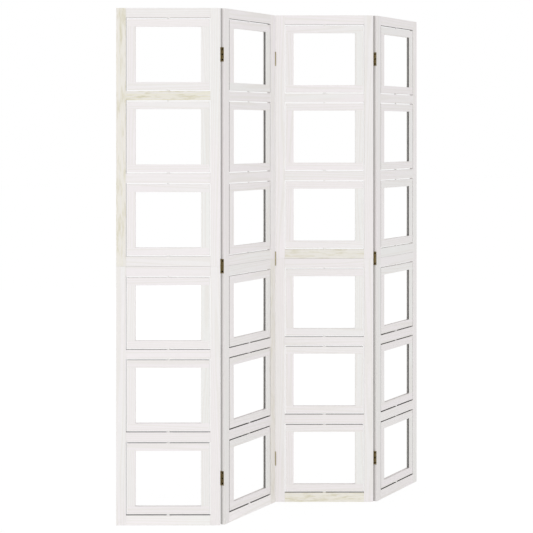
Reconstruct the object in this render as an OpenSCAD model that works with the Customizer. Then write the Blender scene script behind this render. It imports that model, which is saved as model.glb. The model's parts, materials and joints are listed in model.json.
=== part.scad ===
// Folding room divider: four panels of painted wood joined by brass butt hinges.
// Each panel is an upper and a lower half, doweled together at mid-height, and
// each half carries three empty picture frames that swivel on upright pins.
// Millimetres, +Z up, front towards -Y. The origin is on the floor, under the
// middle of the whole zigzag. Inside a panel, x runs along it from its left
// end, y goes from its front face to its back face, and z starts at the floor.

/* [Panels] */
// Angle that each panel makes with the line of the one before it
fold_angle = 60; // [30:1:120]
// Thickness of the stiles and rails
panel_t = 15; // [14:0.5:22]
// Width of an upright stile
stile_w = 34.5; // [34:0.5:60]
// Height of the top rail
top_rail_h = 34; // [28:1:60]
// Height of the rail between the lower and the middle frame of a half
lower_mid_rail_h = 34; // [28:1:60]
// Height of the rail between the middle and the upper frame of a half
upper_mid_rail_h = 32; // [28:1:60]
// Height of each of the two rails that meet at mid-height
joint_rail_h = 34.5; // [28:0.5:60]
// Height of the bottom rail
bottom_rail_h = 35; // [28:1:80]
// Width of the small flat that eases the long edges of a stile or rail
edge_ease = 0.8; // [0.3:0.1:1.5]
// Setback of the two middle rails from the joint between the halves
joint_relief = 0.15; // [0.1:0.05:0.5]

/* [Picture frames] */
// Outer width of a picture frame
frame_w = 287; // [200:1:400]
// Outer height of a picture frame
frame_h = 247; // [160:1:320]
// Height of the strips above and below the picture
strip_w = 27; // [22:0.5:40]
// Width of the strips at the picture's sides
side_strip_w = 29.5; // [22:0.5:40]
// Thickness of one face strip
strip_t = 2.5; // [1.5:0.1:3]
// Thickness of the spacers, which is the room for picture and cover sheets
slot_t = 8; // [6.5:0.1:9]
// Depth to which the picture's edge goes in behind the strips
picture_tuck = 6; // [3:0.5:8]
// Gap between a picture frame and the stile beside it
side_gap = 3; // [2:0.5:8]
// Gap between a picture frame and the rail above or below it
end_gap = 4; // [2:0.5:10]
// Thickness of the glue between the pieces of a picture frame
glue_t = 0.1; // [0.05:0.01:0.15]

/* [Swivel pins] */
// Diameter of a swivel pin
pin_d = 6; // [4:0.1:6.2]
// Length of pin that is glued into the frame
pin_in_frame = 12; // [8:0.5:13]
// Length of pin that turns in the rail
pin_in_rail = 10; // [6:0.5:11]
// Radial running clearance of a pin in its rail
pin_play = 0.08; // [0.03:0.01:0.1]
// Free space above the upper pin's end
pin_headroom = 1; // [0.5:0.5:2]
// Diameter of the shoulder on a frame's lower pin
shoulder_d = 10; // [7:0.5:12]
// Gap between the shoulder and the rail under it
shoulder_play = 0.3; // [0.2:0.05:0.5]

/* [Hinges] */
// Height of a hinge
hinge_h = 50; // [40:1:70]
// Distance from a panel's top or bottom to the middle of its outer hinge
hinge_inset = 161; // [90:1:250]
// Thickness of a hinge leaf
leaf_t = 1.2; // [0.8:0.1:1.5]
// Width of a leaf across the stile's edge, from the face it folds on
leaf_w = 13.5; // [10:0.5:13.5]
// Gap between two panels that stand in line, and between their hinge leaves
leaf_gap = 0.4; // [0.3:0.1:1]
// Diameter of the hinge's knuckles
knuckle_d = 4.8; // [4.2:0.1:5.4]
// Gap between neighbouring knuckles, and round a knuckle in the leaf and stiles beside it
knuckle_play = 0.3; // [0.2:0.05:0.5]
// Distance from the panel's face to the hinge's axis
axis_stand = 0.4; // [0.2:0.1:2]
// Clearance round a leaf in its seat in the stile's edge
seat_play = 0.1; // [0.05:0.05:0.3]
// Diameter of the hinge pin
hinge_pin_d = 2.2; // [1.6:0.1:2.6]
// Radial running clearance of the pin in the leaf that turns on it
hinge_pin_play = 0.05; // [0.02:0.01:0.1]
// Diameter of the heads at the pin's two ends
pin_head_d = 3.8; // [3.2:0.1:4.2]
// Height of a head on the hinge pin
pin_head_h = 0.8; // [0.5:0.1:1.5]

/* [Screws and dowels] */
// Diameter of a hinge screw's countersunk head
screw_head_d = 5.6; // [4.4:0.1:6]
// Diameter of a hinge screw's shank
screw_d = 3; // [2:0.1:3.2]
// Length of screw in the stile
screw_in_stile = 11; // [8:0.5:12]
// Distance from a leaf's end to the nearest screw
screw_from_end = 6.5; // [4:0.5:8]
// Length of the cross cut in a screw's head
cross_l = 3; // [1.6:0.1:3.6]
// Width of the cross cut in a screw's head
cross_w = 0.5; // [0.3:0.1:0.8]
// Depth of the cross cut in a screw's head
cross_depth = 0.6; // [0.3:0.1:0.8]
// Diameter of the dowels in the panel's joints
dowel_d = 6; // [4:0.5:7]
// Length of a rail's dowel that sits in the stile
dowel_in_stile = 12; // [8:0.5:12]
// Length of a rail's dowel that sits in the rail
dowel_in_rail = 18; // [10:1:24]
// Length of the dowel between the halves, in each half
dowel_in_half = 24; // [12:1:30]

/* [Hidden] */
$fn = 32;

painted = "#efedeb";
cream = "#e8e4d6";
brass = "#a8884f";
dark_brass = "#4a3a20";
dowel_wood = "#d9c29a";

// A cell is the space between two stiles and two rails that a frame swivels in
cell_w = frame_w + 2 * side_gap;
cell_h = frame_h + 2 * end_gap;
panel_w = cell_w + 2 * stile_w;
frame_t = 2 * strip_t + slot_t;
spacer_w = strip_w - picture_tuck;
side_spacer_w = side_strip_w - picture_tuck;

// Rails from the floor up; the middle two meet where the halves are joined
rail_hs = [bottom_rail_h, lower_mid_rail_h, upper_mid_rail_h, joint_rail_h,
           joint_rail_h, lower_mid_rail_h, upper_mid_rail_h, top_rail_h];
rail_count = len(rail_hs);
rails_per_half = rail_count / 2;
frames_per_panel = rail_count - 2;
lower_h = rail_bottom(rails_per_half);
panel_h = rail_bottom(rail_count - 1) + top_rail_h;

function rails_below(i) = i == 0 ? 0 : rails_below(i - 1) + rail_hs[i - 1];
function cells_below(i) = i < rails_per_half ? i : i - 1;
function rail_bottom(i) = rails_below(i) + cells_below(i) * cell_h;

// Frames are numbered from the top; this is the index of the rail under one
function rail_under(frame) = frame <= rails_per_half - 1 ? rail_count - 1 - frame : rail_count - 2 - frame;
function frame_bottom(frame) = rail_bottom(rail_under(frame)) + rail_hs[rail_under(frame)] + end_gap;

// The hinge axes: half a gap past the panel's end, and proud of one of its faces.
// Leaves lie flush in the stile's edge. Their screws run down the middle of what
// shows beside the knuckles, measured from the face that the hinge folds on.
half_gap = leaf_gap / 2;
knuckle_reach = knuckle_d / 2 + knuckle_play;
axis_left = -half_gap;
axis_right = panel_w + half_gap;
axis_back = panel_t + axis_stand;
axis_front = -axis_stand;
hinge_zs = [hinge_inset, lower_h, panel_h - hinge_inset];
knuckle_count = 5;
knuckle_h = hinge_h / knuckle_count;
screw_line = (leaf_w + knuckle_d / 2 - axis_stand) / 2;
cut = 1;

// Whether the hinge between panel k and k + 1 has its axis behind the panels
function axis_is_behind(k) = k % 2 == 1;

// The zigzag: panels 1 and 3 turn one way and panels 2 and 4 the other
turn = fold_angle / 2;
function turned(v, angle) = [v.x * cos(angle) - v.y * sin(angle), v.x * sin(angle) + v.y * cos(angle)];
front_most = -(panel_w + half_gap) * sin(turn) + axis_stand * cos(turn);
back_most = -half_gap * sin(turn) + axis_back * cos(turn);
fold_2 = [0, -(front_most + back_most) / 2];
span = axis_right - axis_left;
fold_1 = fold_2 - turned([span, axis_front - axis_back], turn);
fold_3 = fold_2 + turned([span, axis_back - axis_front], -turn);
folds = [fold_1, fold_2, fold_3];

PANELS = [1, 2, 3, 4];
FRAMES = [for (f = [1:frames_per_panel]) f];

// Puts a panel, drawn in its own frame, where it stands in the zigzag
module in_panel(p) {
    at = p == 1 ? fold_1 : folds[p - 2];
    held = p == 1 ? [axis_right, axis_back]
         : p == 3 ? [axis_left, axis_front]
         : [axis_left, axis_back];
    translate([at.x, at.y, 0])
        rotate(p % 2 == 1 ? -turn : turn)
        translate([-held.x, -held.y, 0])
        children();
}

// Cross-section of a piece of timber, a by b, with its four edges eased
module eased_section(a, b) {
    e = edge_ease;
    polygon([[e, 0], [a - e, 0], [a, e], [a, b - e], [a - e, b], [e, b], [0, b - e], [0, e]]);
}

// A rod along x from x = 0
module rod(d, l) {
    rotate([0, 90, 0])
        cylinder(d = d, h = l);
}

function has_left_hinges(p) = p > 1;
function has_right_hinges(p) = p < len(PANELS);

// Heights of one hinge's screws; the middle hinge has none where the halves meet
function screw_zs(hinge_z) = [
    for (k = [-1:1])
        if (k != 0 || hinge_z != lower_h) hinge_z + k * (hinge_h / 2 - screw_from_end)
];
all_screw_zs = [for (hz = hinge_zs) each screw_zs(hz)];

// Upright stile, one half of the panel's height
module stile(p, half, side) {
    z0 = half == "upper" ? lower_h : 0;
    h = half == "upper" ? panel_h - lower_h : lower_h;
    x0 = side == "right" ? panel_w - stile_w : 0;
    hinged = side == "right" ? has_right_hinges(p) : has_left_hinges(p);
    screw_y = axis_is_behind(side == "right" ? p : p - 1) ? panel_t - screw_line : screw_line;
    first = half == "upper" ? rails_per_half : 0;
    color(p == 1 && half == "upper" && side == "left" ? cream : painted)
        difference() {
            translate([x0, 0, z0])
                linear_extrude(h)
                eased_section(stile_w, panel_t);
            for (i = [first:first + rails_per_half - 1])
                rail_dowel(i, side);
            half_dowel(side);
            if (hinged) {
                at_axis(side == "right" ? p : p - 1, side == "right")
                    mirror([side == "right" ? 0 : 1, 0, 0])
                    for (z = hinge_zs)
                        translate([0, 0, z]) hinge_seat();
                for (z = all_screw_zs)
                    if (z > z0 && z < z0 + h)
                        translate([side == "right" ? panel_w - leaf_t - screw_in_stile : leaf_t - cut, screw_y, z])
                        rod(screw_d, screw_in_stile + cut);
            }
        }
}

// What is cut out of a stile for one hinge, with the axis at the origin and the
// stile towards -x: a seat as deep as the leaf, and a rebate for the knuckles
module hinge_seat() {
    seat_h = hinge_h + 2 * seat_play;
    seat_y = axis_stand + leaf_w + seat_play;
    translate([-half_gap - leaf_t, -seat_y, -seat_h / 2])
        cube([leaf_t + cut, seat_y + cut, seat_h]);
    rebate_h = hinge_h + 2 * (pin_head_h + knuckle_play);
    translate([-knuckle_reach, -knuckle_reach, -rebate_h / 2])
        cube([knuckle_reach + cut, knuckle_reach + cut, rebate_h]);
}

// The dowel that ties rail i to the stile on one side
module rail_dowel(i, side) {
    x0 = side == "right" ? panel_w - stile_w - dowel_in_rail : stile_w - dowel_in_stile;
    translate([x0, panel_t / 2, rail_bottom(i) + rail_hs[i] / 2])
        rod(dowel_d, dowel_in_rail + dowel_in_stile);
}

// The upright dowel that ties the two halves of one stile
module half_dowel(side) {
    translate([side == "right" ? panel_w - stile_w / 2 : stile_w / 2, panel_t / 2, lower_h - dowel_in_half])
        cylinder(d = dowel_d, h = 2 * dowel_in_half);
}

// Rail i, which fits between the stiles and carries the pins of the frames beside it
module rail(i) {
    below_joint = i == rails_per_half - 1;
    above_joint = i == rails_per_half;
    z0 = rail_bottom(i) + (above_joint ? joint_relief : 0);
    h = rail_hs[i] - (below_joint || above_joint ? joint_relief : 0);
    bore_d = pin_d + 2 * pin_play;
    has_frame_above = !below_joint && i != rail_count - 1;
    has_frame_below = !above_joint && i != 0;
    difference() {
        translate([stile_w, 0, z0])
            rotate([90, 0, 90])
            linear_extrude(cell_w)
            eased_section(panel_t, h);
        for (side = ["left", "right"])
            rail_dowel(i, side);
        if (has_frame_above)
            translate([panel_w / 2, panel_t / 2, z0 + h - pin_in_rail])
                cylinder(d = bore_d, h = pin_in_rail + cut);
        if (has_frame_below)
            translate([panel_w / 2, panel_t / 2, z0 - cut])
                cylinder(d = bore_d, h = pin_in_rail + pin_headroom + cut);
    }
}

module rails() {
    for (i = [0:rail_count - 1])
        color(painted) rail(i);
}

module dowels() {
    color(dowel_wood)
        for (side = ["left", "right"]) {
            half_dowel(side);
            for (i = [0:rail_count - 1])
                rail_dowel(i, side);
        }
}

// One face of a picture frame: two strips across it and two between them
module face_strips() {
    for (z = [0, frame_h - strip_w])
        translate([0, 0, z]) cube([frame_w, strip_t, strip_w]);
    for (x = [0, frame_w - side_strip_w])
        translate([x, 0, strip_w + glue_t])
            cube([side_strip_w, strip_t, frame_h - 2 * strip_w - 2 * glue_t]);
}

// The blind bore that a swivel pin is glued into
module pin_seat(z) {
    translate([frame_w / 2, frame_t / 2, z])
        cylinder(d = pin_d + 2 * glue_t, h = pin_in_frame + glue_t);
}

// Spacers hold the faces apart at the top, bottom and left. The right side
// stays open as the slot that the picture slides in through.
module spacers() {
    y0 = strip_t + glue_t;
    t = slot_t - 2 * glue_t;
    difference() {
        translate([0, y0, 0]) cube([frame_w, t, spacer_w]);
        pin_seat(0);
    }
    difference() {
        translate([0, y0, frame_h - spacer_w]) cube([frame_w, t, spacer_w]);
        pin_seat(frame_h - pin_in_frame - glue_t);
    }
    translate([0, y0, spacer_w + glue_t])
        cube([side_spacer_w, t, frame_h - 2 * spacer_w - 2 * glue_t]);
}

// The two pins that the frame turns on. The lower one stands on its bore's floor
// and has a shoulder that fills the gap under the frame.
module swivel_pins() {
    reach = pin_in_frame + end_gap + pin_in_rail;
    translate([frame_w / 2, frame_t / 2, 0]) {
        for (z = [-end_gap - pin_in_rail, frame_h - pin_in_frame])
            translate([0, 0, z]) cylinder(d = pin_d, h = reach);
        translate([0, 0, -end_gap + shoulder_play])
            cylinder(d = shoulder_d, h = end_gap - shoulder_play - glue_t);
    }
}

module picture_frame(f) {
    translate([panel_w / 2 - frame_w / 2, panel_t / 2 - frame_t / 2, frame_bottom(f)])
        color(painted) {
            face_strips();
            translate([0, strip_t + slot_t, 0]) face_strips();
            spacers();
            swivel_pins();
        }
}

// A countersunk hole or head along x, widest at x = 0 and leaving towards -x
module countersink() {
    rotate([0, -90, 0])
        cylinder(d1 = screw_head_d, d2 = screw_d, h = leaf_t);
}

// Hinge leaf on the left of its axis, which stands at the origin. Its plate lies
// in the stile's edge towards -y; own says which knuckles belong to it.
module leaf(own, zs, play) {
    difference() {
        union() {
            translate([-half_gap - leaf_t, -axis_stand - leaf_w, -hinge_h / 2])
                cube([leaf_t, axis_stand + leaf_w, hinge_h]);
            translate([0, 0, -hinge_h / 2])
                cylinder(d = knuckle_d, h = hinge_h);
        }
        for (k = [0:knuckle_count - 1])
            if (k % 2 != own)
                translate([0, 0, -hinge_h / 2 + k * knuckle_h - knuckle_play / 2])
                    cylinder(r = knuckle_reach, h = knuckle_h + knuckle_play);
        translate([0, 0, -hinge_h / 2 - cut])
            cylinder(d = hinge_pin_d + 2 * play, h = hinge_h + 2 * cut);
        for (z = zs)
            translate([-half_gap, -axis_stand - screw_line, z])
                countersink();
    }
}

module screw(x_sign) {
    mirror([x_sign > 0 ? 1 : 0, 0, 0])
        translate([-half_gap, 0, 0])
        difference() {
            union() {
                countersink();
                translate([-leaf_t - screw_in_stile, 0, 0]) rod(screw_d, screw_in_stile);
            }
            for (across = [0, 90])
                rotate([across, 0, 0])
                    translate([-cross_depth, -cross_l / 2, -cross_w / 2])
                    cube([cross_depth + cut, cross_l, cross_w]);
        }
}

// Puts what is drawn round a hinge's axis at fold k, as seen from a panel's end
module at_axis(k, right_end) {
    behind = axis_is_behind(k);
    translate([right_end ? axis_right : axis_left, behind ? axis_back : axis_front, 0])
        mirror([0, behind ? 0 : 1, 0])
        children();
}

module hinge_leaves(p) {
    color(brass)
        for (right_end = [true, false])
            if (right_end ? has_right_hinges(p) : has_left_hinges(p))
                at_axis(right_end ? p : p - 1, right_end)
                    for (hz = hinge_zs)
                        translate([0, 0, hz])
                        mirror([right_end ? 0 : 1, 0, 0])
                        leaf(right_end ? 0 : 1, [for (z = screw_zs(hz)) z - hz], right_end ? 0 : hinge_pin_play);
}

module hinge_screws(p) {
    color(dark_brass)
        for (right_end = [true, false])
            if (right_end ? has_right_hinges(p) : has_left_hinges(p))
                at_axis(right_end ? p : p - 1, right_end)
                    for (z = all_screw_zs)
                        translate([0, -axis_stand - screw_line, z])
                        screw(right_end ? -1 : 1);
}

// The three pins of one fold, held in the knuckles of the panel on the left
module hinge_pins(k) {
    color(brass)
        in_panel(k)
        at_axis(k, true)
        for (hz = hinge_zs)
            translate([0, 0, hz]) {
                translate([0, 0, -hinge_h / 2]) cylinder(d = hinge_pin_d, h = hinge_h);
                translate([0, 0, hinge_h / 2]) cylinder(d = pin_head_d, h = pin_head_h);
                translate([0, 0, -hinge_h / 2 - pin_head_h]) cylinder(d = pin_head_d, h = pin_head_h);
            }
}

for (p = PANELS) {
    for (half = ["upper", "lower"], side = ["left", "right"])
        in_panel(p) stile(p, half, side);
    in_panel(p) rails();
    in_panel(p) dowels();
    for (f = FRAMES)
        in_panel(p) picture_frame(f);
    in_panel(p) hinge_leaves(p);
    in_panel(p) hinge_screws(p);
}
for (k = [1:len(folds)])
    hinge_pins(k);
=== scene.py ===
"""Looks of a folding room divider: four panels of white painted boards in a zigzag,
24 picture frames that swivel in them and nine brass butt hinges, built round the
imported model.

All lengths are in metres. A panel is drawn in its own frame, x from its left end, y
from its front face and z from the floor, and is then put where it stands. Every
finished piece lies at the origin with its place in its mesh.
"""

import json
import logging
import math
from dataclasses import dataclass, field
from enum import Enum

import bpy
import numpy as np
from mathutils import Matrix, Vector


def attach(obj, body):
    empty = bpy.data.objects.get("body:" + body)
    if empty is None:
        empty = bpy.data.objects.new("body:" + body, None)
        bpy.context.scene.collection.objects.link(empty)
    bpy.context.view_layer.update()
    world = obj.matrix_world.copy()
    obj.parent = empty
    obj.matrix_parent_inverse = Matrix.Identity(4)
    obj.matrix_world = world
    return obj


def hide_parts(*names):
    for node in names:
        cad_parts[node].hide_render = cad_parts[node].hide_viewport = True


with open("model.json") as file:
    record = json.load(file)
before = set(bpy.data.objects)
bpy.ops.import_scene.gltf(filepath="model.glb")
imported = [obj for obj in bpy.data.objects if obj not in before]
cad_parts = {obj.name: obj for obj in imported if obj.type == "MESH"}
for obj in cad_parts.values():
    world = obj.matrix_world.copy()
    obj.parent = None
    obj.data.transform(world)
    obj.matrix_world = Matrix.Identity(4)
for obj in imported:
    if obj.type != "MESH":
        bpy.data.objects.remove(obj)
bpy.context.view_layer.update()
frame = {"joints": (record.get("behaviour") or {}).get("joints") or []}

Array = np.ndarray
Pair = tuple[float, float]
Range = tuple[float, float]
Triple = tuple[float, float, float]
Colour = Triple
Place = Triple
Socket = bpy.types.NodeSocket
MM = 0.001
LOG = logging.getLogger("room_divider")

# How finely shapes are worked out: the least length to divide by, what counts as the
# same height, the decimals that weld points, the points along a bent strip's path and
# round a turned piece, the rings round a punched hole, and the angle of a sharp edge.
TINY = 1e-9
SAME_HEIGHT = 1e-6
WELD_DIGITS = 7
PATH_POINTS = 2001
AROUND = 24
FAN_SHARES = (0.0, 0.4, 1.0)
SHARP_ANGLE = math.radians(32)
UPRIGHT_TO_X = np.array([[0.0, 0.0, 1.0], [0.0, 1.0, 0.0], [-1.0, 0.0, 0.0]])

# Where the random draws start: the panel's number and the frame's are added to these.
PANEL_SEED, FRAME_SEED = 100, 1000

# Painted shade in the level gaps, standing in for their shadow: the gaps' edges are
# painted darkest below the first heights, get none between, and are painted to the
# last number's share of that darkness above the last heights.
SHADE_BELOW, SHADE_ABOVE, SHADE_TOP = (0.45, 0.95), (1.5, 1.75), 0.9


class Grain(Enum):
    """Order of a panel's axes that puts a board's own length last."""

    ACROSS = (2, 1, 0)
    UPRIGHT = (0, 1, 2)


class Side(Enum):
    """End of a panel, or side of a picture frame, as seen from the front."""

    LEFT = "left"
    RIGHT = "right"


class Half(Enum):
    """Upper or lower half of a panel."""

    LOWER = "lower"
    UPPER = "upper"


@dataclass(frozen=True)
class ScreenSizes:
    """Driving sizes of the screen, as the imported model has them."""

    panel_t: float = 15 * MM
    stile_w: float = 34.5 * MM
    top_rail_h: float = 34 * MM
    lower_mid_rail_h: float = 34 * MM
    upper_mid_rail_h: float = 32 * MM
    joint_rail_h: float = 34.5 * MM
    bottom_rail_h: float = 35 * MM
    joint_relief: float = 0.15 * MM
    frame_w: float = 287 * MM
    frame_h: float = 247 * MM
    side_gap: float = 3 * MM
    end_gap: float = 4 * MM
    hinge_inset: float = 161 * MM
    leaf_t: float = 1.2 * MM
    leaf_gap: float = 0.4 * MM
    leaf_w: float = 13.5 * MM
    hinge_h: float = 50 * MM
    knuckle_d: float = 4.8 * MM
    knuckle_play: float = 0.3 * MM
    pin_head_h: float = 0.8 * MM
    axis_stand: float = 0.4 * MM
    seat_play: float = 0.1 * MM
    turn: float = math.radians(30)

    @property
    def cell_w(self) -> float:
        """Width of the space that a picture frame swivels in."""
        return self.frame_w + 2 * self.side_gap

    @property
    def cell_h(self) -> float:
        """Height of the space that a picture frame swivels in."""
        return self.frame_h + 2 * self.end_gap

    @property
    def panel_w(self) -> float:
        """Width of a panel over both stiles."""
        return self.cell_w + 2 * self.stile_w

    @property
    def rail_heights(self) -> tuple[float, ...]:
        """Heights of a panel's rails.

        Returns:
            One height for each rail, from the floor up.
        """
        joint = self.joint_rail_h
        mids = (self.lower_mid_rail_h, self.upper_mid_rail_h)
        return (self.bottom_rail_h, *mids, joint, joint, *mids, self.top_rail_h)

    @property
    def rail_bottoms(self) -> tuple[float, ...]:
        """Height of each rail's underside: the rails below it and the cells between.

        Returns:
            One height for each rail, from the floor up.
        """
        heights = np.array(self.rail_heights)
        half = len(heights) // 2
        index = np.arange(len(heights))
        cells = np.where(index < half, index, index - 1)
        return tuple(np.concatenate([[0.0], np.cumsum(heights)[:-1]]) + cells * self.cell_h)

    @property
    def lower_h(self) -> float:
        """Height of the joint between a panel's halves."""
        return self.rail_bottoms[len(self.rail_heights) // 2]

    @property
    def panel_h(self) -> float:
        """Height of a panel."""
        return self.rail_bottoms[-1] + self.rail_heights[-1]

    @property
    def frame_bottoms(self) -> tuple[float, ...]:
        """Height of each picture frame's underside.

        Returns:
            One height for each frame, from the top frame down.
        """
        half = len(self.rail_heights) // 2
        under = [i for i in reversed(range(len(self.rail_heights) - 1)) if i != half - 1]
        return tuple(self.rail_bottoms[i] + self.rail_heights[i] + self.end_gap for i in under)

    @property
    def half_gap(self) -> float:
        """Distance from a panel's end to the hinge axis beyond it."""
        return self.leaf_gap / 2

    @property
    def knuckle_reach(self) -> float:
        """Distance from the hinge axis that is kept clear for the knuckles."""
        return self.knuckle_d / 2 + self.knuckle_play

    @property
    def hinge_heights(self) -> Triple:
        """Heights of the middles of one fold's hinges."""
        return (self.hinge_inset, self.lower_h, self.panel_h - self.hinge_inset)


SIZES = ScreenSizes()
PANELS = (1, 2, 3, 4)


@dataclass
class Surface:
    """A closed surface as whole arrays, before it becomes a mesh.

    `flat` marks the quads that are shaded by their own plane, where the others use the
    normals of their points. `marks` holds what the finishes read at each point:
    "grain", its place in the tree that a board was sawn from, with the trunk along the
    third axis, "look", the paint's tone, its cream and how near an edge it is, and
    "coat", how much painted shade darkens the paint there, in place of the shadow in
    gaps and crevices, and how its white is tinted.
    """

    points: Array
    quads: Array
    triangles: Array = field(default_factory=lambda: np.empty((0, 3), int))
    normals: Array | None = None
    flat: Array | None = None
    marks: dict[str, Array] = field(default_factory=dict)

    def moved(self, offset: Place) -> "Surface":
        """The same surface, shifted by `offset`."""
        return self.reshaped(self.points + np.array(offset), self.normals)

    def reshaped(self, points: Array, normals: Array | None) -> "Surface":
        """The same faces and marks on other points."""
        return Surface(points, self.quads, self.triangles, normals, self.flat, self.marks)

    def turned(self, matrix: Array) -> "Surface":
        """Turns or mirrors the surface.

        Args:
            matrix: three rows, one for each new axis. A mirror turns the faces over,
                so that they still point outwards.

        Returns:
            The turned surface.
        """
        normals = None if self.normals is None else self.normals @ matrix.T
        made = self.reshaped(self.points @ matrix.T, normals)
        if np.linalg.det(matrix) < 0:
            made.quads = made.quads[:, ::-1]
            made.triangles = made.triangles[:, ::-1]
        return made

    def mark(self, name: str, *values: float | Array) -> "Surface":
        """Writes what a finish reads at each point.

        Args:
            name: "grain", "look" or "coat".
            values: up to three, each one number for all points or one for each point.

        Returns:
            The surface itself.
        """
        filled = np.zeros((len(self.points), 3))
        for i, value in enumerate(values):
            filled[:, i] = value
        self.marks[name] = filled
        return self


def joined(surfaces: list[Surface]) -> Surface:
    """Puts several surfaces into one, as separate shells.

    Args:
        surfaces: what to join. Either all of them have normals, or the whole goes
            without.

    Returns:
        One surface with all their shells.
    """
    starts = np.cumsum([0] + [len(s.points) for s in surfaces[:-1]])
    pairs = list(zip(surfaces, starts, strict=True))
    with_normals = all(s.normals is not None for s in surfaces)
    flats = [np.zeros(len(s.quads), bool) if s.flat is None else s.flat for s in surfaces]
    names = sorted({name for s in surfaces for name in s.marks})
    marks = {n: np.concatenate([s.marks.get(n, 0 * s.points) for s in surfaces]) for n in names}
    return Surface(
        np.concatenate([s.points for s in surfaces]),
        np.concatenate([s.quads + start for s, start in pairs]),
        np.concatenate([s.triangles + start for s, start in pairs]),
        np.concatenate([s.normals for s in surfaces]) if with_normals else None,
        np.concatenate(flats),
        marks,
    )


def smooth(value: Array, low: float, high: float) -> Array:
    """0 below low, 1 above high, and a smooth step between."""
    t = np.clip((value - low) / (high - low), 0.0, 1.0)
    return t * t * (3.0 - 2.0 * t)


def unit(vectors: Array) -> Array:
    """The same vectors at length 1, or 0 where they have none."""
    return vectors / np.maximum(np.linalg.norm(vectors, axis=1, keepdims=True), TINY)


def eased_lines(half: float, ease: float, steps: int, inner: Array) -> tuple[Array, Array]:
    """Grid lines across one side of a block, as flat places and shares of the easing.

    Towards each end the share goes as the tangent of an angle that steps evenly from
    0 to 45 degrees, which makes the segments of the round edge equally long.

    Args:
        half: half the block's size that way.
        ease: radius of the round edge, measured that way.
        steps: segments in each half of a round edge.
        inner: more lines across the flat.

    Returns:
        The place of each line on the flat core, and its signed share of the easing.
    """
    shares = np.tan(np.linspace(0.0, math.pi / 4, steps + 1))
    flat = np.full(steps + 1, half - ease)
    core = np.concatenate([-flat, inner, flat])
    return core, np.concatenate([-shares[::-1], np.zeros(len(inner)), shares])


def rounded_block(
    size: Triple,
    ease: Triple,
    steps: int,
    inner: tuple[Array, Array, Array],
    edge_reach: float,
    cuts: tuple[tuple[Array, Array], ...] = (),
) -> Surface:
    """A block with round edges and corners, centred on the origin, with parts cut away.

    The block is a lattice of cells. Its surface is every cell wall that has a solid
    cell on one side only. A lattice point is its nearest point of the flat-sided core
    plus the easing times its share, scaled so that the share's greatest part becomes
    its length: a round edge is then a quarter of an ellipse and a corner an eighth of
    an ellipsoid.

    Args:
        size: full size along x, y and z.
        ease: radius of the edges along x, y and z.
        steps: segments in each half of a round edge.
        inner: more grid lines across the flats, for each axis.
        edge_reach: distance from an edge at which the edge mask has faded out.
        cuts: low and high corners of boxes to cut away, whose sides lie on grid lines
            or outside the block.

    Returns:
        The block with its exact normals and the edge mask in "look".
    """
    lines = [eased_lines(s / 2, e, steps, i) for s, e, i in zip(size, ease, inner, strict=True)]
    radii = np.array(ease)
    rough = [core + e * share for (core, share), e in zip(lines, ease, strict=True)]
    middles = np.stack(np.meshgrid(*[(r[1:] + r[:-1]) / 2 for r in rough], indexing="ij"))
    solid = np.ones(middles.shape[1:], bool)
    for low, high in cuts:
        inside = (middles > low.reshape(3, 1, 1, 1)) & (middles < high.reshape(3, 1, 1, 1))
        solid &= ~inside.all(axis=0)
    counts = [len(core) for core, _ in lines]
    number = np.arange(np.prod(counts)).reshape(counts)
    padded = np.pad(solid, 1)
    quads, flat = [], []
    for axis in range(3):
        step = np.diff(padded.astype(int), axis=axis)
        step = np.moveaxis(step, axis, 0)[:, 1:-1, 1:-1]
        corners = np.moveaxis(number, axis, 0)
        near, far = corners[:, :, :-1], corners[:, :, 1:]
        square = np.stack([near[:, :-1], near[:, 1:], far[:, 1:], far[:, :-1]], axis=-1)
        on_shell = np.zeros(step.shape, bool)
        on_shell[[0, -1]] = True
        for way in (1, -1):
            chosen = step == way
            order = slice(None) if (way == -1) == (axis != 1) else slice(None, None, -1)
            quads.append(square[chosen][:, order])
            flat.append(~on_shell[chosen])
    quads = np.concatenate(quads)
    used, quads = np.unique(quads, return_inverse=True)
    quads = quads.reshape(-1, 4)
    where = np.unravel_index(used, counts)
    core = np.stack([lines[a][0][where[a]] for a in range(3)], axis=1)
    share = np.stack([lines[a][1][where[a]] for a in range(3)], axis=1)
    direction = unit(share)
    points = core + radii * direction * np.abs(share).max(axis=1, keepdims=True)
    normals = unit(direction / radii)
    depth = np.sort(np.array(size) / 2 - np.abs(core + radii * share), axis=1)[:, 1]
    made = Surface(points, quads, normals=normals, flat=np.concatenate(flat))
    return made.mark("look", 0.0, 0.0, np.clip(1.0 - depth / edge_reach, 0.0, 1.0))


def side_quads(grid: Array, flip: bool) -> Array:
    """Quads between neighbouring points of a grid.

    Args:
        grid: rows of point numbers.
        flip: whether to turn the quads over.

    Returns:
        Four point numbers for each quad.
    """
    quads = np.stack([grid[:-1, :-1], grid[1:, :-1], grid[1:, 1:], grid[:-1, 1:]], axis=-1)
    quads = quads.reshape(-1, 4)
    return quads[:, ::-1] if flip else quads


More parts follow.
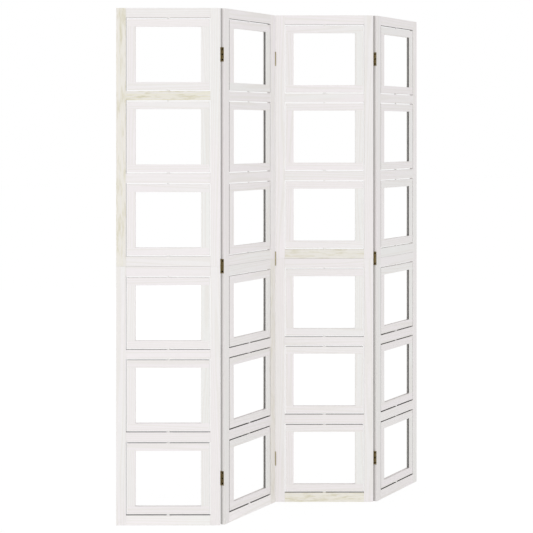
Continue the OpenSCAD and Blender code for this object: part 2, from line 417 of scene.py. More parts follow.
def lathe(radius: Array, height: Array) -> Surface:
    """A closed turned piece round the z axis.

    Point (s, t) is at angle 2 pi t / around, at distance radius[s, t] from the axis
    and at height[s, t]. The first and last rings close on points of the axis.

    Args:
        radius: rings by around, from the bottom ring to the top one.
        height: the same shape.

    Returns:
        The turned surface.
    """
    rings, around = radius.shape
    angle = np.linspace(0.0, 2 * math.pi, around, endpoint=False)
    shell = np.stack([radius * np.cos(angle), radius * np.sin(angle), height], axis=-1)
    poles = np.array([[0, 0, height[0].mean()], [0, 0, height[-1].mean()]])
    index = np.arange(rings * around).reshape(rings, around)
    index = np.concatenate([index, index[:, :1]], axis=1)
    bottom = np.full(around, rings * around)
    low, high = index[0], index[-1]
    triangles = [
        np.stack([bottom, low[1:], low[:-1]], axis=1),
        np.stack([bottom + 1, high[:-1], high[1:]], axis=1),
    ]
    return Surface(
        np.concatenate([shell.reshape(-1, 3), poles]),
        side_quads(index, True),
        np.concatenate(triangles),
    )


def turned_rod(radii: list[float] | Array, heights: list[float] | Array) -> Surface:
    """A closed turned piece with level rings.

    Args:
        radii: each ring's radius, from the bottom ring to the top one.
        heights: each ring's height.

    Returns:
        The turned surface.
    """
    rings = np.stack([radii, heights])
    return lathe(*np.repeat(rings[:, :, None], AROUND, axis=2))


def punched_sheet(
    cells: list[Triple],
    width: Range,
    holes_y: float,
    thickness: Range,
    radii: Pair,
    per_side: int,
) -> Surface:
    """A flat sheet with one conical hole in each of its cells, standing in the y-z plane.

    A cell is a fan of rings: with s from 0 to 1, a point is (1 - s) times the hole's
    circle plus s times the cell's outline, at the same angle as seen from the hole.
    The cells are welded, the face is copied to the other side with the other radius,
    and walls join the two along every open edge.

    Args:
        cells: for each cell its low z, its high z and its hole's z.
        width: the sheet's low and high y.
        holes_y: y of the holes.
        thickness: x of the back and of the front.
        radii: the holes' radius at the back and at the front.
        per_side: points along each side of a cell.

    Returns:
        The sheet with its holes.
    """
    faces = []
    for radius in radii:
        points, quads, start = [], [], 0
        for low, high, hole in cells:
            outline = cell_outline(width, (low, high), per_side)
            centre = np.array([holes_y, hole])
            out = outline - centre
            circle = centre + radius * out / np.linalg.norm(out, axis=1, keepdims=True)
            share = np.array(FAN_SHARES).reshape(-1, 1, 1)
            points.append(((1 - share) * circle + share * outline).reshape(-1, 2))
            grid = np.arange(start, start + len(points[-1])).reshape(len(share), -1)
            quads.append(side_quads(np.concatenate([grid, grid[:, :1]], axis=1), False))
            start += len(points[-1])
        faces.append((np.concatenate(points), np.concatenate(quads)))
    back, quads = faces[0]
    front, _ = faces[1]
    _, first, weld = np.unique(
        np.round(front, WELD_DIGITS), axis=0, return_index=True, return_inverse=True
    )
    weld = weld.ravel()
    quads = weld[quads]
    count = len(first)
    directed = np.concatenate([quads[:, [i, (i + 1) % 4]] for i in range(4)])
    forward = directed[:, 0] * count + directed[:, 1]
    backward = directed[:, 1] * count + directed[:, 0]
    a, b = directed[~np.isin(forward, backward)].T
    walls = np.stack([b, a, a + count, b + count], axis=1)
    placed = ((front, thickness[1]), (back, thickness[0]))
    sheet = [np.insert(face[first], 0, x, axis=1) for face, x in placed]
    return Surface(
        np.concatenate(sheet), np.concatenate([quads, quads[:, ::-1] + count, walls])
    )


def cell_outline(width: Range, height: Range, per_side: int) -> Array:
    """Points round a rectangle, evenly along each side, against the clock from y to z.

    Args:
        width: its low and high y.
        height: its low and high z.
        per_side: points along each side, with the corner that it starts at.

    Returns:
        y and z of each point.
    """
    step = np.linspace(0.0, 1.0, per_side, endpoint=False)
    y0, y1 = width
    z0, z1 = height
    across, up = y0 + (y1 - y0) * step, z0 + (z1 - z0) * step
    flat = np.ones(per_side)
    sides = [
        (across, z0 * flat),
        (y1 * flat, up),
        ((y0 + y1) - across, z1 * flat),
        (y0 * flat, (z0 + z1) - up),
    ]
    return np.concatenate([np.stack(side, axis=1) for side in sides])


def spread(rng: np.random.Generator, reach: float) -> float:
    """A random number from -reach to reach."""
    return rng.uniform(-reach, reach)


@dataclass(frozen=True)
class Board:
    """A planed board with eased edges, in its panel's frame.

    Its painted-shade sides, each an axis, a sign and how dark, carry painted shade in
    place of the shadow in the gaps round the board.
    `seats` are the low and high corners of the boxes cut out of it for the hinges.
    `pinned` boards have no painted shade at their middle, where a swivel pin enters them.
    `tint` is how its white leans, from -1 for rosy to 1 for fresh. The pin range is how
    far from the middle the painted shade stays off and where it comes back in full. A
    side counts as facing an axis by its normal, from the first share of `facing` to the
    second.
    """

    low: Place
    size: Triple
    grain: Grain
    ease: float = 1.1 * MM
    end_ease: float = 0.3 * MM
    steps: int = 3
    edge_reach: float = 2.5 * MM
    thin: tuple[tuple[int, int, float], ...] = ()
    seats: tuple[tuple[Array, Array], ...] = ()
    tint: float = -0.4
    pinned: bool = False
    pin_coat: Range = (5.5 * MM, 7.0 * MM)
    facing: Range = (0.85, 0.99)
    trunk_depth: Range = (0.02, 0.07)
    trunk_drift: float = 0.05
    trunk_aside: float = 0.03
    trunk_l: float = 8.0
    tone_spread: float = 1.0
    tint_spread: float = 0.4

    def surface(self, rng: np.random.Generator, cream: float = 0.0, tone: float = 0.0) -> Surface:
        """Builds the board and gives it a place in a trunk of its own.

        The trunk's middle is 20 to 70 mm behind the face and drifts sideways along
        the board, so that the rings run out in long arches as on a sawn board.

        Args:
            rng: where its tone, its tint and its place in the trunk come from.
            cream: how far its paint has yellowed, 0 for white.
            tone: how much lighter it is painted than the others'; on the bottom rails this is
                painted light.

        Returns:
            The board in its panel's frame.
        """
        order = list(self.grain.value)
        radii = np.full(3, self.ease)
        radii[order[2]] = self.end_ease
        middle = np.array(self.low) + np.array(self.size) / 2
        cuts = tuple((low - middle, high - middle) for low, high in self.seats)
        inner = tuple(self.grid_lines(a, radii[a], cuts) for a in range(3))
        block = rounded_block(self.size, tuple(radii), self.steps, inner, self.edge_reach, cuts)
        trunk = block.points[:, order].copy()
        depth, drift = rng.uniform(*self.trunk_depth), spread(rng, self.trunk_drift)
        trunk[:, 0] += spread(rng, self.trunk_aside) + drift * trunk[:, 2]
        trunk[:, 1] += depth * rng.choice([-1.0, 1.0])
        trunk[:, 2] += rng.uniform(0.0, self.trunk_l)
        block.mark("grain", *trunk.T)
        block.mark("look", tone + spread(rng, self.tone_spread), cream, block.marks["look"][:, 2])
        # Painted shade: sides that face a gap are darkened in place of their shadow, except round a
        # swivel pin.
        shade_share = np.zeros(len(block.points))
        for axis, sign, share in self.thin:
            facing = smooth(sign * block.normals[:, axis], *self.facing)
            shade_share = np.maximum(shade_share, share * facing)
        if self.pinned:
            shade_share *= smooth(np.abs(block.points[:, 0]), *self.pin_coat)
        block.mark("coat", shade_share, self.tint + spread(rng, self.tint_spread))
        return block.moved(tuple(middle))

    def grid_lines(self, axis: int, ease: float, cuts: tuple[tuple[Array, Array], ...]) -> Array:
        """Lines across one axis' flat that hold the edge mask and bound the seats.

        Args:
            axis: which axis.
            ease: its easing.
            cuts: the seats, from the board's middle.

        Returns:
            The lines' places, in order.
        """
        flat = self.size[axis] / 2 - ease
        held = flat - self.edge_reach
        lines = [-held, held] if held > self.edge_reach else []
        lines += [end[axis] for cut in cuts for end in cut if abs(end[axis]) < flat]
        if self.pinned and axis == 0:
            lines += [way * place for place in self.pin_coat for way in (-1.0, 1.0)]
        return np.unique(np.round(lines, WELD_DIGITS)) if lines else np.empty(0)


@dataclass(frozen=True)
class PanelPlace:
    """Where a panel stands in the zigzag."""

    number: int

    @property
    def body(self) -> str:
        """Name of the panel's body."""
        return f"panel_{self.number}"

    def matrix(self) -> Array:
        """Turn of the panel about the upright: odd panels one way, even ones the other.

        Returns:
            Three rows, one for each new axis.
        """
        angle = -SIZES.turn if self.number % 2 else SIZES.turn
        c, s = math.cos(angle), math.sin(angle)
        return np.array([[c, -s, 0.0], [s, c, 0.0], [0.0, 0.0, 1.0]])

    def hinge_axis(self, side: Side) -> Pair:
        """Where the hinge axis at one end stands.

        Args:
            side: which end.

        Returns:
            x and y in the panel's own frame.
        """
        fold = self.number if side is Side.RIGHT else self.number - 1
        x = SIZES.panel_w + SIZES.half_gap if side is Side.RIGHT else -SIZES.half_gap
        y = SIZES.panel_t + SIZES.axis_stand if axis_is_behind(fold) else -SIZES.axis_stand
        return x, y

    def put(self, surface: Surface) -> Surface:
        """Moves a surface from the panel's own frame to where the panel stands.

        Args:
            surface: what to move.

        Returns:
            The same surface in the row frame.
        """
        side = Side.RIGHT if self.number == 1 else Side.LEFT
        fold = 1 if self.number == 1 else self.number - 1
        x, y = self.hinge_axis(side)
        axis = next(j["pos_m"] for j in frame["joints"] if j["name"] == f"fold_{fold}")
        held = self.matrix() @ np.array([x, y, 0.0])
        return surface.turned(self.matrix()).moved((axis[0] - held[0], axis[1] - held[1], 0.0))


def outwards(side: Side) -> float:
    """Which way along x a panel's end faces."""
    return 1.0 if side is Side.RIGHT else -1.0


def axis_is_behind(fold: int) -> bool:
    """Whether a fold's hinge axis is behind the panels."""
    return fold % 2 == 1


class Shader:
    """A short way to fill a node tree. A value may be a socket or a constant."""

    def __init__(self, tree: bpy.types.NodeTree) -> None:
        """Works in `tree`, which is emptied first."""
        self.tree = tree
        tree.nodes.clear()

    def node(self, kind: str, settings: dict | None = None, **inputs: object) -> bpy.types.Node:
        """Adds a node.

        Args:
            kind: the node's type without its "ShaderNode".
            settings: the node's own properties.
            inputs: sockets to link or values to set, by name with _ for a space.

        Returns:
            The node.
        """
        made = self.tree.nodes.new("ShaderNode" + kind)
        for name, value in (settings or {}).items():
            setattr(made, name, value)
        for name, value in inputs.items():
            self.feed(made.inputs[name.replace("_", " ")], value)
        return made

    def feed(self, socket: Socket, value: object) -> None:
        """Links a socket to another one, or sets its constant.

        Args:
            socket: the input.
            value: an output, a number or a tuple, of three parts also for a colour.
        """
        if isinstance(value, Socket):
            self.tree.links.new(value, socket)
        elif isinstance(value, tuple) and len(value) == 3 and socket.type == "RGBA":
            socket.default_value = (*value, 1.0)
        else:
            socket.default_value = value

    def math(self, operation: str, *values: object, clamp: bool = False) -> Socket:
        """Adds a Math node.

        Args:
            operation: what it does.
            values: its operands, in order.
            clamp: whether its result is held between 0 and 1.

        Returns:
            The result.
        """
        made = self.node("Math", {"operation": operation, "use_clamp": clamp})
        for socket, value in zip(made.inputs, values):
            self.feed(socket, value)
        return made.outputs[0]

    def blend(self, mask: object, a: object, b: object, mode: str = "MIX") -> Socket:
        """Turns colour a into b, or mixes it with b in another mode.

        Args:
            mask: 0 for a, 1 for b.
            a: the first colour.
            b: the second colour.
            mode: the Mix node's blend type.

        Returns:
            The colour between them.
        """
        made = self.node("Mix", {"data_type": "RGBA", "blend_type": mode})
        self.feed(made.inputs[0], mask)
        self.feed(made.inputs[6], a)
        self.feed(made.inputs[7], b)
        return made.outputs[2]

    def ramp(self, value: Socket, given: Range, wanted: Range = (0.0, 1.0)) -> Socket:
        """Carries a value smoothly from one range to another, and holds it past its ends.

        Args:
            value: the value.
            given: the range that it comes from.
            wanted: the range that it goes to.

        Returns:
            The value in its new range.
        """
        made = self.node("MapRange", {"interpolation_type": "SMOOTHSTEP"}, Value=value)
        ends = zip(("From Min", "From Max", "To Min", "To Max"), (*given, *wanted), strict=True)
        for name, end in ends:
            self.feed(made.inputs[name], end)
        return made.outputs[0]

    def scaled(self, vector: Socket, scale: Triple) -> Socket:
        """Scales a vector.

        Args:
            vector: the vector.
            scale: a factor for each of its axes.

        Returns:
            The scaled vector.
        """
        made = self.node("VectorMath", {"operation": "MULTIPLY"})
        self.feed(made.inputs[0], vector)
        self.feed(made.inputs[1], scale)
        return made.outputs[0]

    def noise(
        self, vector: Socket, detail: float, rough: float = 0.5, scale: object = 1.0
    ) -> Socket:
        """A noise pattern's value, about 0.5."""
        made = self.node("TexNoise", Vector=vector, Scale=scale, Detail=detail, Roughness=rough)
        return made.outputs[0]


def new_group(
    name: str, inputs: dict[str, object], outputs: tuple[str, ...]
) -> tuple[Shader, dict[str, Socket], bpy.types.Node]:
    """Starts a node group.

    Args:
        name: the group's name.
        inputs: default value by input name; a tuple makes a vector.
        outputs: names of its outputs, each a number.

    Returns:
        The group's shader, its inputs by name and its output node.
    """
    tree = bpy.data.node_groups.new(name, "ShaderNodeTree")
    shader = Shader(tree)
    for key, value in inputs.items():
        kind = "NodeSocketVector" if isinstance(value, tuple) else "NodeSocketFloat"
        socket = tree.interface.new_socket(name=key, in_out="INPUT", socket_type=kind)
        socket.default_value = value
    for key in outputs:
        tree.interface.new_socket(name=key, in_out="OUTPUT", socket_type="NodeSocketFloat")
    start = tree.nodes.new("NodeGroupInput")
    end = tree.nodes.new("NodeGroupOutput")
    return shader, {key: start.outputs[key] for key in inputs}, end


class Effects:
    """Patterns that more than one finish uses, each a node group built once.

    A scale has its third part along the trunk. A range is the part of a noise or wave
    that becomes 0 to 1, or with `fibre_range` what a finish asks for.
    """

    bend_scale: Triple = (14.0, 14.0, 1.6)
    bend: float = 0.012
    ring_range: Range = (-0.2, 1.0)
    fibre_scale: Triple = (1.0, 1.0, 0.022)
    fibre_range: Range = (0.3, 0.7)
    drift_scale: Triple = (8.0, 8.0, 1.6)
    mark_scale: Triple = (95.0, 95.0, 15.0)
    mark_range: Range = (0.44, 0.74)
    patch_range: Range = (0.38, 0.66)
    speck_range: Range = (0.5, 0.75)

    def __init__(self) -> None:
        """Builds the groups."""
        self.timber = self.build_timber()
        self.mottle = self.build_mottle()

    def build_timber(self) -> bpy.types.NodeTree:
        """Wood figure from a place in the trunk.

        Rings are a sharpened sine of the distance from the trunk's middle, bent by
        slow noise. Fibres are noise drawn out along the trunk. Drift is a slow change
        along the board, and Marks are short blotches.

        Returns:
            The group.
        """
        defaults = {"Place": (0.0, 0.0, 0.0), "Ring Width": 0.004, "Fibre": 420.0}
        outputs = ("Rings", "Fibres", "Drift", "Marks")
        shader, given, end = new_group("timber_figure", defaults, outputs)
        place = given["Place"]
        slow = shader.noise(shader.scaled(place, self.bend_scale), detail=2.0)
        parts = shader.node("SeparateXYZ", Vector=place)
        squares = [shader.math("MULTIPLY", part, part) for part in parts.outputs[:2]]
        distance = shader.math("SQRT", shader.math("ADD", *squares))
        bent = shader.math("ADD", distance, shader.math("MULTIPLY", slow, self.bend))
        turns = shader.math("DIVIDE", bent, given["Ring Width"])
        wave = shader.math("SINE", shader.math("MULTIPLY", turns, 2 * math.pi))
        drawn_out = shader.scaled(place, self.fibre_scale)
        marks = shader.noise(shader.scaled(place, self.mark_scale), detail=3.0, rough=0.65)
        results = (
            shader.ramp(wave, self.ring_range),
            shader.noise(drawn_out, detail=4.0, rough=0.6, scale=given["Fibre"]),
            shader.noise(shader.scaled(place, self.drift_scale), detail=2.0),
            shader.ramp(marks, self.mark_range),
        )
        for name, result in zip(outputs, results, strict=True):
            shader.feed(end.inputs[name], result)
        return shader.tree

    def build_mottle(self) -> bpy.types.NodeTree:
        """Patches and fine specks of wear or tarnish, from any coordinates.

        Returns:
            The group.
        """
        defaults = {"Place": (0.0, 0.0, 0.0), "Patch Scale": 60.0, "Speck Scale": 900.0}
        shader, given, end = new_group("mottle", defaults, ("Patches", "Specks"))
        place = given["Place"]
        patches = shader.noise(place, detail=3.0, rough=0.6, scale=given["Patch Scale"])
        specks = shader.noise(place, detail=2.0, rough=0.7, scale=given["Speck Scale"])
        shader.feed(end.inputs["Patches"], shader.ramp(patches, self.patch_range))
        shader.feed(end.inputs["Specks"], shader.ramp(specks, self.speck_range))
        return shader.tree


@dataclass(frozen=True)
class Finish:
    """What every finish has: its name and the record's slot that it stands for."""

    name: str
    slot: str

    def material(self, effects: Effects) -> bpy.types.Material:
        """Builds the finish's material.

        Args:
            effects: the shared patterns.

        Returns:
            The material.
        """
        made = bpy.data.materials.new(self.name)
        made.use_nodes = True
        shader = Shader(made.node_tree)
        surface = shader.node("BsdfPrincipled")
        self.fill(shader, surface, effects)
        end = shader.node("OutputMaterial")
        shader.feed(end.inputs["Surface"], surface.outputs[0])
        return made

    def fill(self, shader: Shader, surface: bpy.types.Node, effects: Effects) -> None:
        """Sets the sockets of the Principled BSDF."""
        raise NotImplementedError

    @staticmethod
    def group(shader: Shader, tree: bpy.types.NodeTree, **inputs: object) -> bpy.types.Node:
        """Places a node group.

        Args:
            shader: the material's shader.
            tree: the group.
            inputs: sockets to link or values to set, by name with _ for a space.

        Returns:
            The group's node.
        """
        made = shader.tree.nodes.new("ShaderNodeGroup")
        made.node_tree = tree
        for name, value in inputs.items():
            shader.feed(made.inputs[name.replace("_", " ")], value)
        return made

    @staticmethod
    def attribute(shader: Shader, name: str) -> Socket:
        """Reads one of a piece's own attributes, as a vector."""
        settings = {"attribute_type": "GEOMETRY", "attribute_name": name}
        return shader.node("Attribute", settings).outputs["Vector"]

    @classmethod
    def parts(cls, shader: Shader, name: str) -> list[Socket]:
        """Reads one of a piece's own attributes, as three numbers."""
        return list(shader.node("SeparateXYZ", Vector=cls.attribute(shader, name)).outputs)

    @staticmethod
    def bump(shader: Shader, surface: bpy.types.Node, height: Socket, amount: Pair) -> None:
        """Gives a surface its relief.

        Args:
            shader: the material's shader.
            surface: its Principled BSDF.
            height: the relief's height.
            amount: the Bump node's strength and distance.
        """
        made = shader.node("Bump", Strength=amount[0], Distance=amount[1], Height=height)
        shader.feed(surface.inputs["Normal"], made.outputs[0])


@dataclass(frozen=True)
class BoardPaint(Finish):
    """Satin white paint, thin enough for the wood's figure to show faintly.

    `figure` is how strongly the wood shows, on white paint and how much more on cream.
    `tone_step` is how much lighter one step of a board's tone is. Along a board, the
    drift that is in `drift_range` moves the tint by `drift_lean`. `relief` is the Bump
    node's strength and distance, and `satin` the range of the roughness.
    """

    rosy: Colour = (0.856, 0.816, 0.834)
    fresh: Colour = (0.830, 0.834, 0.820)
    cream: Colour = (0.775, 0.748, 0.618)
    mark: Colour = (0.560, 0.520, 0.330)
    worn: Colour = (0.860, 0.845, 0.815)
    shade: Colour = (0.790, 0.765, 0.735)
    # Dark colour of the painted shade on sides in gaps, slots and the folds' crevices.
    painted_gap_shade: Colour = (0.130, 0.120, 0.110)
    figure: Pair = (0.5, 0.12)
    marking: float = 0.85
    rubbing: float = 0.5
    tone_step: float = 0.008
    drift_range: Range = (0.36, 0.64)
    drift_lean: Range = (-0.6, 0.6)
    patch_scale: float = 90.0
    speck_scale: float = 1400.0
    relief: Pair = (0.35, 0.25 * MM)
    satin: Range = (0.62, 0.78)
    sheen: float = 0.2
    ring_relief: float = 0.5
    speck_relief: float = 0.15

    def fill(self, shader: Shader, surface: bpy.types.Node, effects: Effects) -> None:
        """White that leans to rosy or fresh, its yellowing, and painted shade where sides face
        gaps.

        Args:
            shader: the material's shader.
            surface: its Principled BSDF.
            effects: the shared patterns.
        """
        trunk = self.attribute(shader, "grain")
        tone, cream, edge = self.parts(shader, "look")
        shade_share, tint, _ = self.parts(shader, "coat")
        wood = self.group(shader, effects.timber, Place=trunk).outputs
        scales = {"Patch_Scale": self.patch_scale, "Speck_Scale": self.speck_scale}
        fuzz = self.group(shader, effects.mottle, Place=trunk, **scales).outputs
        drift = shader.ramp(wood["Drift"], self.drift_range, self.drift_lean)
        leaning = shader.ramp(shader.math("ADD", tint, drift), (-1.0, 1.0))
        white = shader.blend(leaning, self.rosy, self.fresh)
        paint = shader.blend(cream, white, self.cream)
        on_white, on_cream = self.figure
        showing = shader.math("MULTIPLY_ADD", cream, on_cream, on_white)
        figure = shader.math("ADD", wood["Rings"], wood["Fibres"])
        faint = shader.math("MULTIPLY", figure, showing, clamp=True)
        shaded = shader.blend(faint, paint, self.shade)
        yellowed = shader.math("MULTIPLY", cream, self.marking)
        strength = shader.math("MULTIPLY", wood["Marks"], yellowed, clamp=True)
        marked = shader.blend(strength, shaded, self.mark)
        patches = shader.math("MULTIPLY", fuzz["Patches"], self.rubbing)
        eased = shader.blend(shader.math("MULTIPLY", edge, patches), marked, self.worn)
        # Painted shade: the paint turns dark where the board's sides face gaps and crevices.
        eased = shader.blend(shade_share, eased, self.painted_gap_shade)
        level = shader.math("MULTIPLY_ADD", tone, self.tone_step, 1.0)
        grey = shader.node("CombineXYZ", X=level, Y=level, Z=level).outputs[0]
        shader.feed(surface.inputs["Base Color"], shader.blend(1.0, eased, grey, "MULTIPLY"))
        rough = shader.ramp(wood["Fibres"], effects.fibre_range, self.satin)
        shader.feed(surface.inputs["Roughness"], rough)
        surface.inputs["Specular IOR Level"].default_value = self.sheen
        rings = shader.math("MULTIPLY", wood["Rings"], self.ring_relief)
        specks = shader.math("MULTIPLY", fuzz["Specks"], self.speck_relief)
        relief = shader.math("ADD", shader.math("ADD", wood["Fibres"], rings), specks)
        self.bump(shader, surface, relief, self.relief)


@dataclass(frozen=True)
class BareDowel(Finish):
    """Bare turned beech, with darker rings and fibres."""

    pale: Colour = (0.66, 0.50, 0.31)
    dark: Colour = (0.50, 0.34, 0.19)
    ring_w: float = 1.2 * MM
    fibre: float = 900.0
    relief: Pair = (0.3, 0.1 * MM)
    matt: Range = (0.55, 0.75)

    def fill(self, shader: Shader, surface: bpy.types.Node, effects: Effects) -> None:
        """Pale wood with darker rings and fibres.

        Args:
            shader: the material's shader.
            surface: its Principled BSDF.
            effects: the shared patterns.
        """
        trunk = self.attribute(shader, "grain")
        scales = {"Ring_Width": self.ring_w, "Fibre": self.fibre}
        wood = self.group(shader, effects.timber, Place=trunk, **scales).outputs
        mask = shader.math("MULTIPLY", wood["Rings"], wood["Fibres"])
        shader.feed(surface.inputs["Base Color"], shader.blend(mask, self.pale, self.dark))
        rough = shader.ramp(wood["Fibres"], effects.fibre_range, self.matt)
        shader.feed(surface.inputs["Roughness"], rough)
        self.bump(shader, surface, wood["Fibres"], self.relief)


@dataclass(frozen=True)
class AgedMetal(Finish):
    """Metal that has dulled in patches and stays brighter on its edges.

    `polish` is its roughness where it is bright and where it is dull.
    """

    bright: Colour
    dull: Colour
    rubbed: Colour
    polish: Range
    specks: float = 0.35
    rubbing: float = 0.6
    patch_scale: float = 260.0
    speck_scale: float = 2600.0
    relief: Pair = (0.2, 0.05 * MM)
    brush_scale: Triple = (6000.0, 6000.0, 300.0)

    def fill(self, shader: Shader, surface: bpy.types.Node, effects: Effects) -> None:
        """Bright metal with dull patches, specks and rubbed edges.

        Args:
            shader: the material's shader.
            surface: its Principled BSDF.
            effects: the shared patterns.
        """
        place = shader.node("TexCoord").outputs["Object"]
        _, _, edge = self.parts(shader, "look")
        scales = {"Patch_Scale": self.patch_scale, "Speck_Scale": self.speck_scale}
        age = self.group(shader, effects.mottle, Place=place, **scales).outputs
        body = shader.blend(age["Patches"], self.bright, self.dull)
        specks = shader.math("MULTIPLY", age["Specks"], self.specks)
        specked = shader.blend(specks, body, self.dull)
        worn = shader.math("MULTIPLY", edge, self.rubbing)
        shader.feed(surface.inputs["Base Color"], shader.blend(worn, specked, self.rubbed))
        rough = shader.ramp(age["Patches"], (0.0, 1.0), self.polish)
        shader.feed(surface.inputs["Roughness"], rough)
        surface.inputs["Metallic"].default_value = 1.0
        brushed = shader.noise(shader.scaled(place, self.brush_scale), detail=2.0)
        self.bump(shader, surface, shader.math("ADD", brushed, age["Specks"]), self.relief)


class Workshop:
    """Turns surfaces into finished pieces, and keeps one material of each finish."""

    def __init__(self) -> None:
        """Builds the shared patterns."""
        self.effects = Effects()
        self.materials: dict[str, bpy.types.Material] = {}
        self.count = 0

    def piece(self, name: str, surface: Surface, finish: Finish, body: str, node: str) -> None:
        """Makes a piece of a surface, dresses it and lets it ride.

        Args:
            name: the piece's name.
            surface: its shape, in the row frame.
            finish: what it is finished with.
            body: the body that it rides on.
            node: the model's node that it stands for, alone or with other pieces.
        """
        made = write_mesh(name, surface)
        if finish.name not in self.materials:
            self.materials[finish.name] = finish.material(self.effects)
        made.data.materials.append(self.materials[finish.name])
        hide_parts(node)
        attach(made, body)
        self.count += 1
        LOG.info("%s: %d points", name, len(surface.points))


def corner_normals(surface: Surface) -> Array:
    """Normals for each face's corners: the points' own, or a flat quad's plane.

    A quad's plane is across the cross product of its diagonals.

    Args:
        surface: a surface that has normals.

    Returns:
        One normal for each corner, quads first.
    """
    corners = surface.normals[surface.quads]
    if surface.flat is not None and surface.flat.any():
        a, b, c, d = surface.points[surface.quads[surface.flat]].transpose(1, 0, 2)
        plane = np.cross(c - a, d - b)
        plane /= np.linalg.norm(plane, axis=1, keepdims=True)
        corners[surface.flat] = plane[:, None, :]
    on_triangles = surface.normals[surface.triangles]
    return np.concatenate([corners.reshape(-1, 3), on_triangles.reshape(-1, 3)])


def write_mesh(name: str, surface: Surface) -> bpy.types.Object:
    """Writes a surface into a new mesh, with its attributes and normals.

    Args:
        name: the object's name.
        surface: the shape.

    Returns:
        The object, at the origin.
    """
    mesh = bpy.data.meshes.new(name)
    corners = np.concatenate([surface.quads.ravel(), surface.triangles.ravel()])
    counts = np.concatenate([np.full(len(surface.quads), 4), np.full(len(surface.triangles), 3)])
    mesh.vertices.add(len(surface.points))
    mesh.vertices.foreach_set("co", surface.points.ravel())
    mesh.loops.add(len(corners))
    mesh.loops.foreach_set("vertex_index", corners)
    mesh.polygons.add(len(counts))
    mesh.polygons.foreach_set("loop_start", np.cumsum(counts) - counts)
    mesh.polygons.foreach_set("use_smooth", np.ones(len(counts), bool))
    mesh.update(calc_edges=True)
    if mesh.validate():
        LOG.warning("%s: its mesh needed a repair", name)
    if surface.normals is None:
        mesh.set_sharp_from_angle(angle=SHARP_ANGLE)
    else:
        mesh.normals_split_custom_set(corner_normals(surface))
    for key in ("grain", "look", "coat"):
        attribute = mesh.attributes.new(key, "FLOAT_VECTOR", "POINT")
        attribute.data.foreach_set("vector", surface.marks.get(key, 0 * surface.points).ravel())
    made = bpy.data.objects.new(name, mesh)
    bpy.context.scene.collection.objects.link(made)
    return made


WHITE_PAINT = BoardPaint("white_board_paint", "white_paint")
# The pins' white paint, made brighter than the boards' as painted light on them in the shaded gaps.
WHITE_PIN_PAINT_LIT = BoardPaint(
    "white_pin_enamel",
    "white_paint",
    rosy=(0.97, 0.97, 0.96),
    fresh=(0.97, 0.97, 0.96),
    shade=(0.94, 0.94, 0.93),
)
BEECH = BareDowel("bare_beech", "beech")
BRASS = AgedMetal(
    "aged_brass",
    "brass",
    bright=(0.42, 0.355, 0.215),
    dull=(0.255, 0.21, 0.125),
    rubbed=(0.38, 0.345, 0.22),
    polish=(0.32, 0.50),
)
# Dark bronzed screws, made near black partly as painted shade of their countersinks.
BRONZED_AND_SHADED = AgedMetal(
    "bronzed_screw",
    "dark_brass",
    bright=(0.022, 0.016, 0.008),
    dull=(0.010, 0.008, 0.004),
    rubbed=(0.040, 0.028, 0.014),
    polish=(0.38, 0.55),
)


# How dark the painted shade is on the inner side of each panel's left stiles, and on the
# right edge of each panel's picture frames, from the top frame down, in place of the
# shadow in the gaps beside the frames.
STILE_SHADE = {1: 0.9, 2: 0.0, 3: 0.0, 4: 0.0}
RIGHT_EDGE_SHADE = {1: (0.0, 0.0, 0.0, 0.0, 0.4, 0.9), **dict.fromkeys(PANELS[1:], (0.5,) * 6)}

# Boards of each panel painted lighter or darker: the bottom rails lighter, as painted
# light from the floor, and the left stiles of panels 2 and 4 darker; then the boards
# whose paint has yellowed.
BOARD_TONES_AND_PAINTED_LIGHT = {
    1: {"rail_0": 6.0},
    2: {"upper_left_stile": -3.0, "lower_left_stile": -3.0, "rail_0": 9.0},
    3: {"rail_0": 5.0},
    4: {"upper_left_stile": -4.0, "lower_left_stile": -4.0},
}
YELLOWED = {
    1: {"upper_left_stile": 0.65, "rail_6": 1.0},
    2: {"lower_right_stile": 0.35},
    3: {"rail_4": 0.6, "rail_0": 0.9},
    4: {},
}


